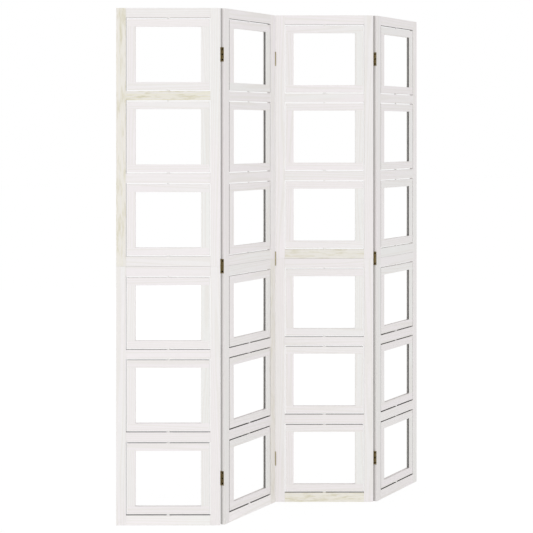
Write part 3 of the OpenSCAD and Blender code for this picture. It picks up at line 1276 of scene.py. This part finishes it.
@dataclass
class Panel:
    """The fixed boards of one panel, with the dowels that hold them together.

    `creams` is how far the paint of a board has yellowed and `tones` how much lighter
    it is painted than the others', by the board's name, with the rails counted from the
    floor; on the bottom rails this lightening is painted light. On the outer ends of the
    stiles, beside the hinges' axis, painted shade stands in for the shadow in the fold's
    crevice: it is as dark as the end share there and gone past `end_band`. A side counts
    as such an end by its normal, from the first share of `end_facing` to the second. A
    dowel's place in its trunk is drawn from `dowel_trunk`.
    """

    place: PanelPlace
    creams: dict[str, float]
    tones: dict[str, float]
    dowel_d: float = 6 * MM
    dowel_bevel: float = 0.7 * MM
    dowel_in_stile: float = 12 * MM
    dowel_in_rail: float = 18 * MM
    dowel_in_half: float = 24 * MM
    flutes: int = 12
    flute_dip: float = 0.05
    dowel_trunk: Range = (0.01, 4.0)
    rail_end_ease: float = 0.2 * MM
    end_shade: float = 0.45
    end_facing: Range = (0.4, 0.95)
    end_band: Range = (3.5 * MM, 7.5 * MM)

    def build(self, shop: Workshop) -> None:
        """Builds and dresses the stiles, the rails and the dowels.

        Args:
            shop: where the pieces are made.
        """
        rng = np.random.default_rng(PANEL_SEED + self.place.number)
        for half in Half:
            for side in Side:
                self.stile(shop, rng, half, side)
        for i in range(len(SIZES.rail_heights)):
            self.rail(shop, rng, i)
            self.rail_dowels(shop, rng, i)
        for side in Side:
            self.half_dowel(shop, rng, side)

    def add(self, shop: Workshop, name: str, surface: Surface, finish: Finish, node: str) -> None:
        """Puts a piece where the panel stands and lets it ride on the panel.

        Args:
            shop: where the piece is made.
            name: its name within the panel.
            surface: its shape, in the panel's frame.
            finish: what it is finished with.
            node: the node that it stands for, named within the panel.
        """
        body = self.place.body
        shop.piece(f"{body}_{name}", self.place.put(surface), finish, body, f"{body}_{node}")

    def coat(self, board: Board, rng: np.random.Generator, name: str) -> Surface:
        """A board's surface with the look that its name gives it."""
        return board.surface(rng, self.creams.get(name, 0.0), self.tones.get(name, 0.0))

    def stile(self, shop: Workshop, rng: np.random.Generator, half: Half, side: Side) -> None:
        """Builds one upright board, half the panel high.

        Args:
            shop: where the piece is made.
            rng: where its look comes from.
            half: which half of the panel.
            side: which side of the panel.
        """
        low = 0.0 if half is Half.LOWER else SIZES.lower_h
        high = SIZES.lower_h if half is Half.LOWER else SIZES.panel_h
        x = 0.0 if side is Side.LEFT else SIZES.panel_w - SIZES.stile_w
        name = f"{half.value}_{side.value}_stile"
        board = Board(
            (x, 0.0, low),
            (SIZES.stile_w, SIZES.panel_t, high - low),
            Grain.UPRIGHT,
            # Painted shade on the inner side of the left stiles.
            thin=((0, 1, STILE_SHADE[self.place.number]),) if side is Side.LEFT else (),
            seats=self.hinge_seats(side),
        )
        surface = self.coat(board, rng, name)
        # Painted shade on the stile's end beside the hinges.
        if board.seats:
            self.shade_fold_ends(surface, side)
        self.add(shop, f"{name}_board", surface, WHITE_PAINT, name)

    def hinge_seats(self, side: Side) -> tuple[tuple[Array, Array], ...]:
        """Boxes cut out of one end of the panel: a seat for each leaf and room to roll.

        Args:
            side: which end.

        Returns:
            Low and high corners in the panel's frame, none at the zigzag's own ends.
        """
        if (self.place.number, side) in ((PANELS[0], Side.LEFT), (PANELS[-1], Side.RIGHT)):
            return ()
        x, y = self.place.hinge_axis(side)
        out = np.array([outwards(side), 1.0 if y > 0 else -1.0, 1.0])
        beyond = SIZES.knuckle_reach
        leaf_h = SIZES.hinge_h / 2 + SIZES.seat_play
        leaf_y = SIZES.axis_stand + SIZES.leaf_w + SIZES.seat_play
        roll_h = SIZES.hinge_h / 2 + SIZES.pin_head_h + SIZES.knuckle_play
        reaches = ((SIZES.half_gap + SIZES.leaf_t, leaf_y, leaf_h), (beyond, beyond, roll_h))
        cuts = []
        for z in SIZES.hinge_heights:
            for deep, low_y, half_h in reaches:
                ends = np.array([[-deep, -low_y, -half_h], [beyond, beyond, half_h]])
                ends = ends * out + np.array([x, y, z])
                cuts.append((ends.min(axis=0), ends.max(axis=0)))
        return tuple(cuts)

    def shade_fold_ends(self, surface: Surface, side: Side) -> None:
        """Paints shade on the end of a stile beside the hinges' axis, in place of the shadow in the
        fold's crevice.

        Args:
            surface: the stile, in the panel's frame.
            side: which end of the panel it is.
        """
        _, axis_y = self.place.hinge_axis(side)
        away = np.abs(surface.points[:, 1] - axis_y)
        facing = smooth(outwards(side) * surface.normals[:, 0], *self.end_facing)
        thin = self.end_shade * facing * (1.0 - smooth(away, *self.end_band))
        surface.marks["coat"][:, 0] = np.maximum(surface.marks["coat"][:, 0], thin)

    def rail(self, shop: Workshop, rng: np.random.Generator, i: int) -> None:
        """Builds a rail. The middle two are set back from their joint.

        Args:
            shop: where the piece is made.
            rng: where its look comes from.
            i: which rail, counted from 0 at the floor.
        """
        last = len(SIZES.rail_heights) - 1
        half = len(SIZES.rail_heights) // 2
        low, height = SIZES.rail_bottoms[i], SIZES.rail_heights[i]
        if i == half:
            low += SIZES.joint_relief
        if i in (half - 1, half):
            height -= SIZES.joint_relief
        size = (SIZES.cell_w, SIZES.panel_t, height)
        # Painted shade on the rail's top and underside, set by height, in place of the gaps'
        # shadow.
        over, under = (2, 1, gap_shade_at(low + height)), (2, -1, gap_shade_at(low))
        thin = {0: (over,), last: (under,)}.get(i, (over, under))
        board = Board(
            (SIZES.stile_w, 0.0, low),
            size,
            Grain.ACROSS,
            end_ease=self.rail_end_ease,
            thin=thin,
            pinned=True,
        )
        surface = self.coat(board, rng, f"rail_{i}")
        self.add(shop, f"rail_{i + 1}_board", surface, WHITE_PAINT, "rails")

    def dowel(self, rng: np.random.Generator, length: float) -> Surface:
        """A fluted dowel from z = 0: its radius dips by twice `flute_dip` in each flute.

        Args:
            rng: where its place in the trunk comes from.
            length: its length.

        Returns:
            The dowel, upright on the origin.
        """
        full = self.dowel_d / 2
        radii = np.array([full - self.dowel_bevel, full, full, full - self.dowel_bevel])
        heights = np.array([0.0, self.dowel_bevel, length - self.dowel_bevel, length])
        angle = np.linspace(0.0, 2 * math.pi, 4 * self.flutes, endpoint=False)
        flute = 1.0 - self.flute_dip * (1.0 - np.cos(self.flutes * angle))
        turned = lathe(radii[:, None] * flute, np.repeat(heights[:, None], len(angle), axis=1))
        return turned.mark("grain", *(turned.points + rng.uniform(*self.dowel_trunk, 3)).T)

    def rail_dowels(self, shop: Workshop, rng: np.random.Generator, i: int) -> None:
        """Builds the two dowels that hold a rail between the stiles.

        Args:
            shop: where the pieces are made.
            rng: where their looks come from.
            i: which rail, counted from 0 at the floor.
        """
        length = self.dowel_in_stile + self.dowel_in_rail
        z = SIZES.rail_bottoms[i] + SIZES.rail_heights[i] / 2
        starts = {
            Side.LEFT: SIZES.stile_w - self.dowel_in_stile,
            Side.RIGHT: SIZES.panel_w - SIZES.stile_w - self.dowel_in_rail,
        }
        for side, x in starts.items():
            lying = self.dowel(rng, length).turned(UPRIGHT_TO_X).moved((x, SIZES.panel_t / 2, z))
            self.add(shop, f"rail_{i + 1}_{side.value}_dowel", lying, BEECH, "dowels")

    def half_dowel(self, shop: Workshop, rng: np.random.Generator, side: Side) -> None:
        """Builds the upright dowel that ties the two halves of a stile.

        Args:
            shop: where the piece is made.
            rng: where its look comes from.
            side: which side of the panel.
        """
        x = SIZES.stile_w / 2 if side is Side.LEFT else SIZES.panel_w - SIZES.stile_w / 2
        start = (x, SIZES.panel_t / 2, SIZES.lower_h - self.dowel_in_half)
        upright = self.dowel(rng, 2 * self.dowel_in_half).moved(start)
        self.add(shop, f"{side.value}_half_dowel", upright, BEECH, "dowels")


@dataclass
class PictureFrame:
    """One swivelling frame: two faces of strips, three spacers between and two pins.

    The fields for a side's shade say how dark its painted shade is, in place of the shadow
    in the gaps and the picture's slot, and what starts with `tint` how a strip's white
    leans. `pin_tone` is how far a pin's tone is from 0 at most, and its place in the
    trunk is drawn from `pin_trunk`.
    """

    place: PanelPlace
    number: int
    strip_w: float = 27 * MM
    side_strip_w: float = 29.5 * MM
    strip_t: float = 2.5 * MM
    slot_t: float = 8 * MM
    picture_tuck: float = 6 * MM
    glue_t: float = 0.05 * MM
    pin_d: float = 6 * MM
    pin_in_frame: float = 12 * MM
    pin_in_rail: float = 10 * MM
    pin_ease: float = 0.5 * MM
    shoulder_d: float = 10 * MM
    shoulder_play: float = 0.3 * MM
    shoulder_ease: float = 0.2 * MM
    strip_ease: float = 0.45 * MM
    spacer_ease: float = 0.2 * MM
    thin_left: float = 1.8
    shade_slot: float = 0.45
    shade_spacer: float = 1.0
    tint_lying: float = -0.5
    tint_left: float = -0.8
    tint_right: float = 0.9
    pin_tone: float = 1.0
    pin_trunk: Range = (0.0, 4.0)

    @property
    def body(self) -> str:
        """Name of the frame's body, which is its node's too."""
        return f"{self.place.body}_frame_{self.number}"

    @property
    def bottom(self) -> float:
        """Height of the frame's underside."""
        return SIZES.frame_bottoms[self.number - 1]

    @property
    def thin_over(self) -> float:
        """How dark the painted shade is on the frame's upper edge."""
        return gap_shade_at(self.bottom + SIZES.frame_h)

    @property
    def shade_under(self) -> float:
        """How dark the painted shade is on the frame's lower edge."""
        return gap_shade_at(self.bottom)

    @property
    def thin_right(self) -> float:
        """How dark the painted shade is on the frame's right edge."""
        return RIGHT_EDGE_SHADE[self.place.number][self.number - 1]

    def build(self, shop: Workshop) -> None:
        """Builds the frame and lets it ride on its own body.

        Args:
            shop: where the pieces are made.
        """
        rng = np.random.default_rng(FRAME_SEED * self.place.number + self.number)
        thickness = 2 * self.strip_t + self.slot_t
        across, deep = SIZES.panel_w - SIZES.frame_w, SIZES.panel_t - thickness
        corner = (across / 2, deep / 2, self.bottom)
        boards = [*self.face(rng, 0.0), *self.face(rng, self.strip_t + self.slot_t)]
        groups = (
            ("strips", boards + self.spacers(rng), WHITE_PAINT),
            ("pins", self.pins(rng), WHITE_PIN_PAINT_LIT),
        )
        for name, made, finish in groups:
            placed = self.place.put(joined(made).moved(corner))
            shop.piece(f"{self.body}_{name}", placed, finish, self.body, self.body)

    def face(self, rng: np.random.Generator, y: float) -> list[Surface]:
        """The four strips of one face: two across, and two upright between them.

        Their outer edges, and the sides that face the open slot, carry painted shade in place of
        the shadow in the gaps and the slot.

        Args:
            rng: where the strips' looks come from.
            y: the face's place from the frame's front.

        Returns:
            The four strips.
        """
        w, h, t = SIZES.frame_w, SIZES.frame_h, self.strip_t
        deep, side = self.strip_w, self.side_strip_w
        # Painted shade on the slot side and on the left, right and level edges.
        inwards = (1, 1 if y == 0.0 else -1, self.shade_slot)
        left, right = (0, -1, self.thin_left), (0, 1, self.thin_right)
        under, over = (2, -1, self.shade_under), (2, 1, self.thin_over)
        lying, upright = (w, t, deep), (side, t, h - 2 * deep)
        laid = [
            ((0.0, y, 0.0), lying, Grain.ACROSS, (under, left, right), self.tint_lying),
            ((0.0, y, h - deep), lying, Grain.ACROSS, (over, left, right), self.tint_lying),
            ((0.0, y, deep), upright, Grain.UPRIGHT, (left,), self.tint_left),
            ((w - side, y, deep), upright, Grain.UPRIGHT, (inwards, right), self.tint_right),
        ]
        made = []
        for low, size, grain, thin, tint in laid:
            pinned = grain is Grain.ACROSS
            looks = {"thin": thin, "tint": tint, "pinned": pinned}
            made.append(Board(low, size, grain, self.strip_ease, steps=2, **looks).surface(rng))
        return made

    def spacers(self, rng: np.random.Generator) -> list[Surface]:
        """The bottom, top and left spacers. The right side is the picture's slot.

        Args:
            rng: where their looks come from.

        Returns:
            The three spacers.
        """
        w, h = SIZES.frame_w, SIZES.frame_h
        deep, side = self.strip_w - self.picture_tuck, self.side_strip_w - self.picture_tuck
        y, t = self.strip_t + self.glue_t, self.slot_t - 2 * self.glue_t
        # Painted shade on the spacers' left and level edges.
        left = (0, -1, self.shade_spacer)
        under, over = (2, -1, self.shade_under), (2, 1, self.thin_over)
        laid = [
            ((0.0, y, 0.0), (w, t, deep), Grain.ACROSS, (under, left)),
            ((0.0, y, h - deep), (w, t, deep), Grain.ACROSS, (over, left)),
            ((0.0, y, deep), (side, t, h - 2 * deep), Grain.UPRIGHT, (left,)),
        ]
        ease = self.spacer_ease
        made = []
        for low, size, grain, thin in laid:
            pinned = grain is Grain.ACROSS
            spacer = Board(low, size, grain, ease, ease, steps=1, thin=thin, pinned=pinned)
            made.append(spacer.surface(rng))
        return made

    def pins(self, rng: np.random.Generator) -> list[Surface]:
        """The two pins that the frame turns on, each a rod with eased ends.

        The lower one has a shoulder that carries the frame just above its rail.

        Args:
            rng: where their looks come from.

        Returns:
            The lower and the upper pin and the shoulder.
        """
        reach = self.pin_in_frame + SIZES.end_gap + self.pin_in_rail
        shoulder = SIZES.end_gap - self.shoulder_play - self.glue_t
        rods = [
            (self.pin_d / 2, self.pin_ease, reach, -SIZES.end_gap - self.pin_in_rail),
            (self.pin_d / 2, self.pin_ease, reach, SIZES.frame_h - self.pin_in_frame),
            (self.shoulder_d / 2, self.shoulder_ease, shoulder, self.shoulder_play - SIZES.end_gap),
        ]
        made = []
        for r, ease, length, z in rods:
            pin = turned_rod([r - ease, r, r, r - ease], [0.0, ease, length - ease, length])
            at_end = np.abs(pin.points[:, 2] - length) < SAME_HEIGHT
            at_start = np.abs(pin.points[:, 2]) < SAME_HEIGHT
            pin.normals = unit(np.column_stack([pin.points[:, :2] / r, at_end * 1.0 - at_start]))
            pin.mark("grain", *(pin.points + rng.uniform(*self.pin_trunk, 3)).T)
            pin.mark("look", spread(rng, self.pin_tone))
            made.append(pin.moved((SIZES.frame_w / 2, self.strip_t + self.slot_t / 2, z)))
        return made


def gap_shade_at(height: float) -> float:
    """How dark the painted shade is in a level gap, in place of its shadow: darkest near the floor
    and at the very top.
    """
    z = np.array(height)
    return float(1.0 - smooth(z, *SHADE_BELOW) + SHADE_TOP * smooth(z, *SHADE_ABOVE))


@dataclass
class Hinge:
    """One butt hinge of a fold: two rolled leaves, their screws and the pin.

    A leaf's strip goes straight for `straight_l`, bends out by `bend`, bends back as
    far and then rolls round the pin by `roll`. A screw has its point `tip_r` wide,
    tapers over `taper_l` from `taper` of its radius, and carries its thread from
    `thread_from_tip` to `thread_from_head`. `cross_edges` is where an arm of its cross
    cut begins and ends to fade, as shares of the arm's width and of its length.
    """

    fold: int
    number: int
    knuckle_gap: float = 0.3 * MM
    bore_d: float = 2.3 * MM
    knuckles: int = 5
    bend: float = math.radians(50)
    roll: float = math.radians(250)
    straight_l: float = 1.2 * MM
    strip_ease: float = 0.2 * MM
    strip_play: float = 0.02 * MM
    strip_steps: int = 48
    hole_points: int = 9
    sink_play: float = 0.04 * MM
    pin_d: float = 2.2 * MM
    pin_head_d: float = 3.8 * MM
    dome_rings: int = 5
    screw_head_d: float = 5.6 * MM
    screw_d: float = 3 * MM
    screw_in_stile: float = 11 * MM
    screw_from_end: float = 6.5 * MM
    cross_l: float = 3 * MM
    cross_w: float = 0.5 * MM
    cross_depth: float = 0.6 * MM
    cross_edges: tuple[Range, Range] = ((0.35, 0.65), (0.40, 0.52))
    head_rings: tuple[float, ...] = (1.0, 0.97, 0.84, 0.68, 0.54, 0.41, 0.28, 0.16, 0.06)
    head_ease: float = 0.08 * MM
    thread_pitch: float = 1.1 * MM
    thread_depth: float = 0.28 * MM
    thread_rings: int = 34
    thread_from_tip: float = 2.2 * MM
    thread_from_head: float = 0.6 * MM
    plain_l: float = 0.5 * MM
    tip_r: float = 0.25 * MM
    taper: float = 0.75
    taper_l: float = 1.6 * MM
    screw_around: int = 32

    @property
    def z(self) -> float:
        """Height of the hinge's middle."""
        return SIZES.hinge_heights[self.number - 1]

    @property
    def screw_y(self) -> float:
        """The screws' place from the axis: halfway between the leaf's edge and its knuckles."""
        return -(SIZES.axis_stand + SIZES.leaf_w + SIZES.knuckle_d / 2) / 2

    @property
    def screw_heights(self) -> list[float]:
        """Heights of a leaf's screws from its middle. The middle hinge has only two."""
        outer = SIZES.hinge_h / 2 - self.screw_from_end
        return [-outer, outer] if self.number == 2 else [-outer, 0.0, outer]

    def build(self, shop: Workshop) -> None:
        """Builds both leaves with their screws, and the pin.

        Args:
            shop: where the pieces are made.
        """
        stem = f"fold_{self.fold}_hinge_{self.number}"
        left, right = PanelPlace(self.fold), PanelPlace(self.fold + 1)
        for own, (place, side) in enumerate(((left, Side.RIGHT), (right, Side.LEFT))):
            screws = joined([self.screw().moved((0.0, 0.0, z)) for z in self.screw_heights])
            kinds = (
                ("leaf", "leaves", self.leaf(own), BRASS),
                ("screws", "screws", screws, BRONZED_AND_SHADED),
            )
            for kind, group, surface, finish in kinds:
                name = f"{stem}_{list(Side)[own].value}_{kind}"
                placed = self.put(surface, place, side)
                shop.piece(name, placed, finish, place.body, f"{place.body}_hinge_{group}")
        pin = self.put(self.pin(), left, Side.RIGHT)
        shop.piece(f"{stem}_pin", pin, BRASS, left.body, f"fold_{self.fold}_hinge_pins")

    def put(self, surface: Surface, place: PanelPlace, side: Side) -> Surface:
        """Moves what is drawn round the axis, with the stile towards -x, to its panel.

        Args:
            surface: what to move.
            place: the panel that it is on.
            side: the end of that panel.

        Returns:
            The same surface in the row frame.
        """
        mirror = np.diag([outwards(side), 1.0 if axis_is_behind(self.fold) else -1.0, 1.0])
        x, y = place.hinge_axis(side)
        return place.put(surface.turned(mirror).moved((x, y, self.z)))

    def leaf(self, own: int) -> Surface:
        """A leaf: a countersunk plate with its own knuckles rolled out of it.

        Args:
            own: 0 for the leaf with the outer and middle knuckles, 1 for the other.

        Returns:
            The leaf, with the hinge's axis along z and the plate on the left of it.
        """
        width = (-SIZES.axis_stand - SIZES.leaf_w, -SIZES.knuckle_reach)
        half, screws = SIZES.hinge_h / 2, self.screw_heights
        borders = [-half, *[(a + b) / 2 for a, b in zip(screws, screws[1:])], half]
        cells = list(zip(borders, borders[1:], screws))
        faces = (-SIZES.half_gap - SIZES.leaf_t, -SIZES.half_gap)
        radii = (self.screw_d / 2 + self.sink_play, self.screw_head_d / 2 + self.sink_play)
        plate = punched_sheet(cells, width, self.screw_y, faces, radii, self.hole_points)
        knuckle_h = SIZES.hinge_h / self.knuckles
        middles = [-half + (k + 0.5) * knuckle_h for k in range(own, self.knuckles, 2)]
        height = knuckle_h - self.knuckle_gap
        return joined([plate, *[self.rolled_tab(height).moved((0.0, 0.0, z)) for z in middles]])

    def rolled_tab(self, height: float) -> Surface:
        """A strip of the leaf that bends out and rolls round the pin.

        Its centre line runs straight up the plate, makes two opposite bends that bring
        it to the roll's radius, and then goes round the axis. The heading is the
        integral of the curvature, and the place that of the heading.

        Args:
            height: the knuckle's height.

        Returns:
            The rolled strip.
        """
        thick, inner, outer = SIZES.leaf_t, self.bore_d / 2, SIZES.knuckle_d / 2
        radius = (inner + outer) / 2
        plate_x = -SIZES.half_gap - thick / 2
        bend_radius = (radius + plate_x) / (2 * (1 - math.cos(self.bend)))
        forward = 2 * bend_radius * math.sin(self.bend)
        arc = bend_radius * self.bend
        lengths = np.array([self.straight_l, arc, arc, radius * self.roll])
        curves = np.array([0.0, 1 / bend_radius, -1 / bend_radius, -1 / radius])
        stops = np.concatenate([[0.0], np.cumsum(lengths)])
        total = stops[-1]
        fine = np.linspace(0.0, total, PATH_POINTS)
        stretch = np.clip(np.searchsorted(stops, fine, side="right") - 1, 0, len(curves) - 1)
        step = np.diff(fine, prepend=0.0)
        heading = math.pi / 2 + np.cumsum(curves[stretch] * step)
        path_x = plate_x + np.cumsum(np.cos(heading) * step)
        path_y = -forward - self.straight_l + np.cumsum(np.sin(heading) * step)
        none = np.empty(0)
        lines = (np.linspace(-total / 2, total / 2, self.strip_steps)[1:-1], none, none)
        size = (total, thick - self.strip_play, height)
        block = rounded_block(size, (self.strip_ease,) * 3, 1, lines, 3 * self.strip_ease)
        along, across, up = block.points.T
        s = along + total / 2
        off = across * (1.0 + (outer - inner - thick) / thick * smooth(s, stops[1], stops[3]))
        turn = np.interp(s, fine, heading)
        x = np.interp(s, fine, path_x) - np.sin(turn) * off
        y = np.interp(s, fine, path_y) + np.cos(turn) * off
        return block.reshaped(np.stack([x, y, up], axis=1), None)

    def pin(self) -> Surface:
        """The pin: a rod with a domed head at each end, turned from its half outline.

        Returns:
            The pin, upright on the hinge's middle.
        """
        angle = np.linspace(0.0, math.pi / 2, self.dome_rings)
        dome_r = self.pin_head_d / 2 * np.cos(angle)[::-1]
        dome_z = SIZES.pin_head_h * np.sin(angle)[::-1]
        half, shank = SIZES.hinge_h / 2, self.pin_d / 2
        radii = np.concatenate([dome_r[1:], [shank, shank], dome_r[:0:-1]])
        heights = np.concatenate([-half - dome_z[1:], [-half, half], half + dome_z[:0:-1]])
        return turned_rod(radii, heights)

    def screw(self) -> Surface:
        """A countersunk screw with a cross cut and a thread, in the leaf's frame.

        The thread adds a wave to the radius that climbs one pitch in a turn. The head's
        top is a height field, cut down where a point lies in either arm of the cross.

        Returns:
            The screw, its head flush with the leaf.
        """
        angle = np.linspace(0.0, 2 * math.pi, self.screw_around, endpoint=False)
        core, head = self.screw_d / 2, -SIZES.leaf_t
        tip = head - self.screw_in_stile
        ends = (tip + self.thread_from_tip, head - self.thread_from_head)
        thread_z = np.linspace(*ends, self.thread_rings)[:, None]
        wave = 0.5 + 0.5 * np.cos(2 * math.pi * thread_z / self.thread_pitch - angle)
        thread_r = core - self.thread_depth * (1.0 - wave) ** 2
        top_r = self.screw_head_d / 2 * np.array(self.head_rings)[:, None]
        x, y = top_r * np.cos(angle), top_r * np.sin(angle)
        top_z = -self.cross_depth * np.maximum(self.arm(x, y), self.arm(y, x))
        top_z[0] -= self.head_ease
        flat = np.ones((1, self.screw_around))
        below = [(self.tip_r, tip), (self.taper * core, tip + self.taper_l)]
        above = [(core, head - self.plain_l), (core, head)]
        rings = [
            *[(r * flat, z * flat) for r, z in below],
            (thread_r, thread_z * flat),
            *[(r * flat, z * flat) for r, z in above],
            (top_r * flat, top_z),
        ]
        radius, height = (np.concatenate(part) for part in zip(*rings))
        lying = lathe(radius, height).turned(UPRIGHT_TO_X)
        return lying.moved((-SIZES.half_gap, self.screw_y, 0.0))

    def arm(self, along: Array, across: Array) -> Array:
        """How far a point lies in one arm of the cross cut, 1 in it and 0 outside.

        Args:
            along: the point's place along the arm.
            across: its place across the arm.

        Returns:
            The share for each point.
        """
        inside = 1.0
        sides = ((across, self.cross_w), (along, self.cross_l))
        for (place, size), (low, high) in zip(sides, self.cross_edges, strict=True):
            inside = inside * (1.0 - smooth(np.abs(place), low * size, high * size))
        return inside


@dataclass(frozen=True)
class SoftLamp:
    """A large lamp, wide and low, that shines at a point and doesn't show."""

    name: str
    place: Place
    aim: Place
    size: Pair
    power: float

    def build(self) -> None:
        """Adds the lamp."""
        light = bpy.data.lights.new(self.name, "AREA")
        light.shape, light.energy = "RECTANGLE", self.power
        light.size, light.size_y = self.size
        lamp = bpy.data.objects.new(self.name, light)
        lamp.location = self.place
        lamp.rotation_mode = "QUATERNION"
        lamp.rotation_quaternion = (Vector(self.aim) - Vector(self.place)).to_track_quat("-Z", "Y")
        lamp.visible_camera = False
        bpy.context.scene.collection.objects.link(lamp)


LAMPS = (
    SoftLamp("key", (-3.82, -5.26, 1.0), (0.0, 0.0, 0.9), (3.5, 1.8), 79.0),
    SoftLamp("right_fill", (2.6, -2.6, 1.0), (0.3, 0.0, 0.9), (1.8, 1.8), 5.0),
    SoftLamp("back_fill", (1.5, 7.5, 1.1), (0.0, 0.0, 0.9), (4.0, 2.0), 60.0),
)


@dataclass
class Studio:
    """Pale floor, soft lamps, white surroundings and the camera.

    The floor is `floor_share` white where it is seen, so that its shadow stays, and
    `floor_lift` white for the light that it sends up. It lies at `floor_z`, just below
    the feet, so that the two don't share a plane.
    """

    camera_place: Place = (-2.7530, -4.5815, 1.3640)
    camera_turn: float = math.radians(30.196)
    lens: float = 98.93
    sensor: float = 36.0
    shift_y: float = -0.2500
    ambient: float = 0.802
    white: Colour = (1.0, 1.0, 1.0)
    floor_colour: Colour = (0.94, 0.94, 0.94)
    floor_glow: float = 1.045
    floor_share: float = 0.85
    floor_lift: float = 0.30
    floor_size: float = 60.0
    floor_z: float = -1 * MM

    def build(self) -> None:
        """Builds the whole studio."""
        self.surroundings()
        self.floor()
        for lamp in LAMPS:
            lamp.build()
        self.camera()
        bpy.context.scene.view_settings.view_transform = "Standard"

    @staticmethod
    def seen_rays(shader: Shader) -> Socket:
        """1 for the camera's own rays, and for those that gloss and glass send on.

        Args:
            shader: the tree that asks.

        Returns:
            1 for such a ray and 0 for others.
        """
        path = shader.node("LightPath").outputs
        seen = shader.math("ADD", path["Is Camera Ray"], path["Is Glossy Ray"])
        return shader.math("ADD", seen, path["Is Transmission Ray"], clamp=True)

    @staticmethod
    def mix(shader: Shader, share: Socket, pair: tuple[bpy.types.Node, ...], end: str) -> None:
        """Mixes two shaders and ends the tree with them.

        Args:
            shader: the tree.
            share: how much of the second shader shows.
            pair: the two shaders' nodes.
            end: "World" or "Material".
        """
        both = shader.node("MixShader")
        values = (share, *[node.outputs[0] for node in pair])
        for socket, value in zip(both.inputs, values, strict=True):
            shader.feed(socket, value)
        shader.node("Output" + end, Surface=both.outputs[0])

    def surroundings(self) -> None:
        """White where it is seen, and a plain even light everywhere."""
        world = bpy.data.worlds.new("studio_white")
        world.use_nodes = True
        bpy.context.scene.world = world
        shader = Shader(world.node_tree)
        lit = shader.node("Background", Color=self.white, Strength=self.ambient)
        seen = shader.node("Background", Color=self.white, Strength=1.0)
        self.mix(shader, self.seen_rays(shader), (lit, seen), "World")

    def floor(self) -> None:
        """A pale floor that is blended with white for the camera, so that its shadow stays."""
        signs = np.array([[-1.0, -1.0], [1.0, -1.0], [1.0, 1.0], [-1.0, 1.0]])
        corners = np.insert(signs * self.floor_size / 2, 2, self.floor_z, axis=1)
        plane = write_mesh("floor", Surface(corners, np.array([[0, 1, 2, 3]])))
        material = bpy.data.materials.new("pale_floor")
        material.use_nodes = True
        shader = Shader(material.node_tree)
        matt = shader.node("BsdfDiffuse", Color=self.floor_colour)
        glow = shader.node("Emission", Color=self.white, Strength=self.floor_glow)
        seen = shader.math("MULTIPLY", self.seen_rays(shader), self.floor_share)
        share = shader.math("MAXIMUM", seen, self.floor_lift)
        self.mix(shader, share, (matt, glow), "Material")
        plane.data.materials.append(material)

    def camera(self) -> None:
        """The level camera of the photograph, shifted down to take in the feet."""
        data = bpy.data.cameras.new("camera")
        data.lens, data.sensor_width, data.shift_y = self.lens, self.sensor, self.shift_y
        made = bpy.data.objects.new("camera", data)
        made.location = self.camera_place
        made.rotation_euler = (math.pi / 2, 0.0, -self.camera_turn)
        bpy.context.scene.collection.objects.link(made)
        bpy.context.scene.camera = made


def main() -> None:
    """Builds the screen, piece by piece, and then the studio."""
    logging.basicConfig(level=logging.INFO, format="%(name)s %(message)s")
    shop = Workshop()
    for number in PANELS:
        place = PanelPlace(number)
        Panel(place, creams=YELLOWED[number], tones=BOARD_TONES_AND_PAINTED_LIGHT[number]).build(shop)
        for i in range(len(SIZES.frame_bottoms)):
            PictureFrame(place, i + 1).build(shop)
    for fold in range(1, len(PANELS)):
        for number in range(1, len(SIZES.hinge_heights) + 1):
            Hinge(fold, number).build(shop)
    Studio().build()
    LOG.info("%d pieces", shop.count)


if __name__ == "__main__":
    main()
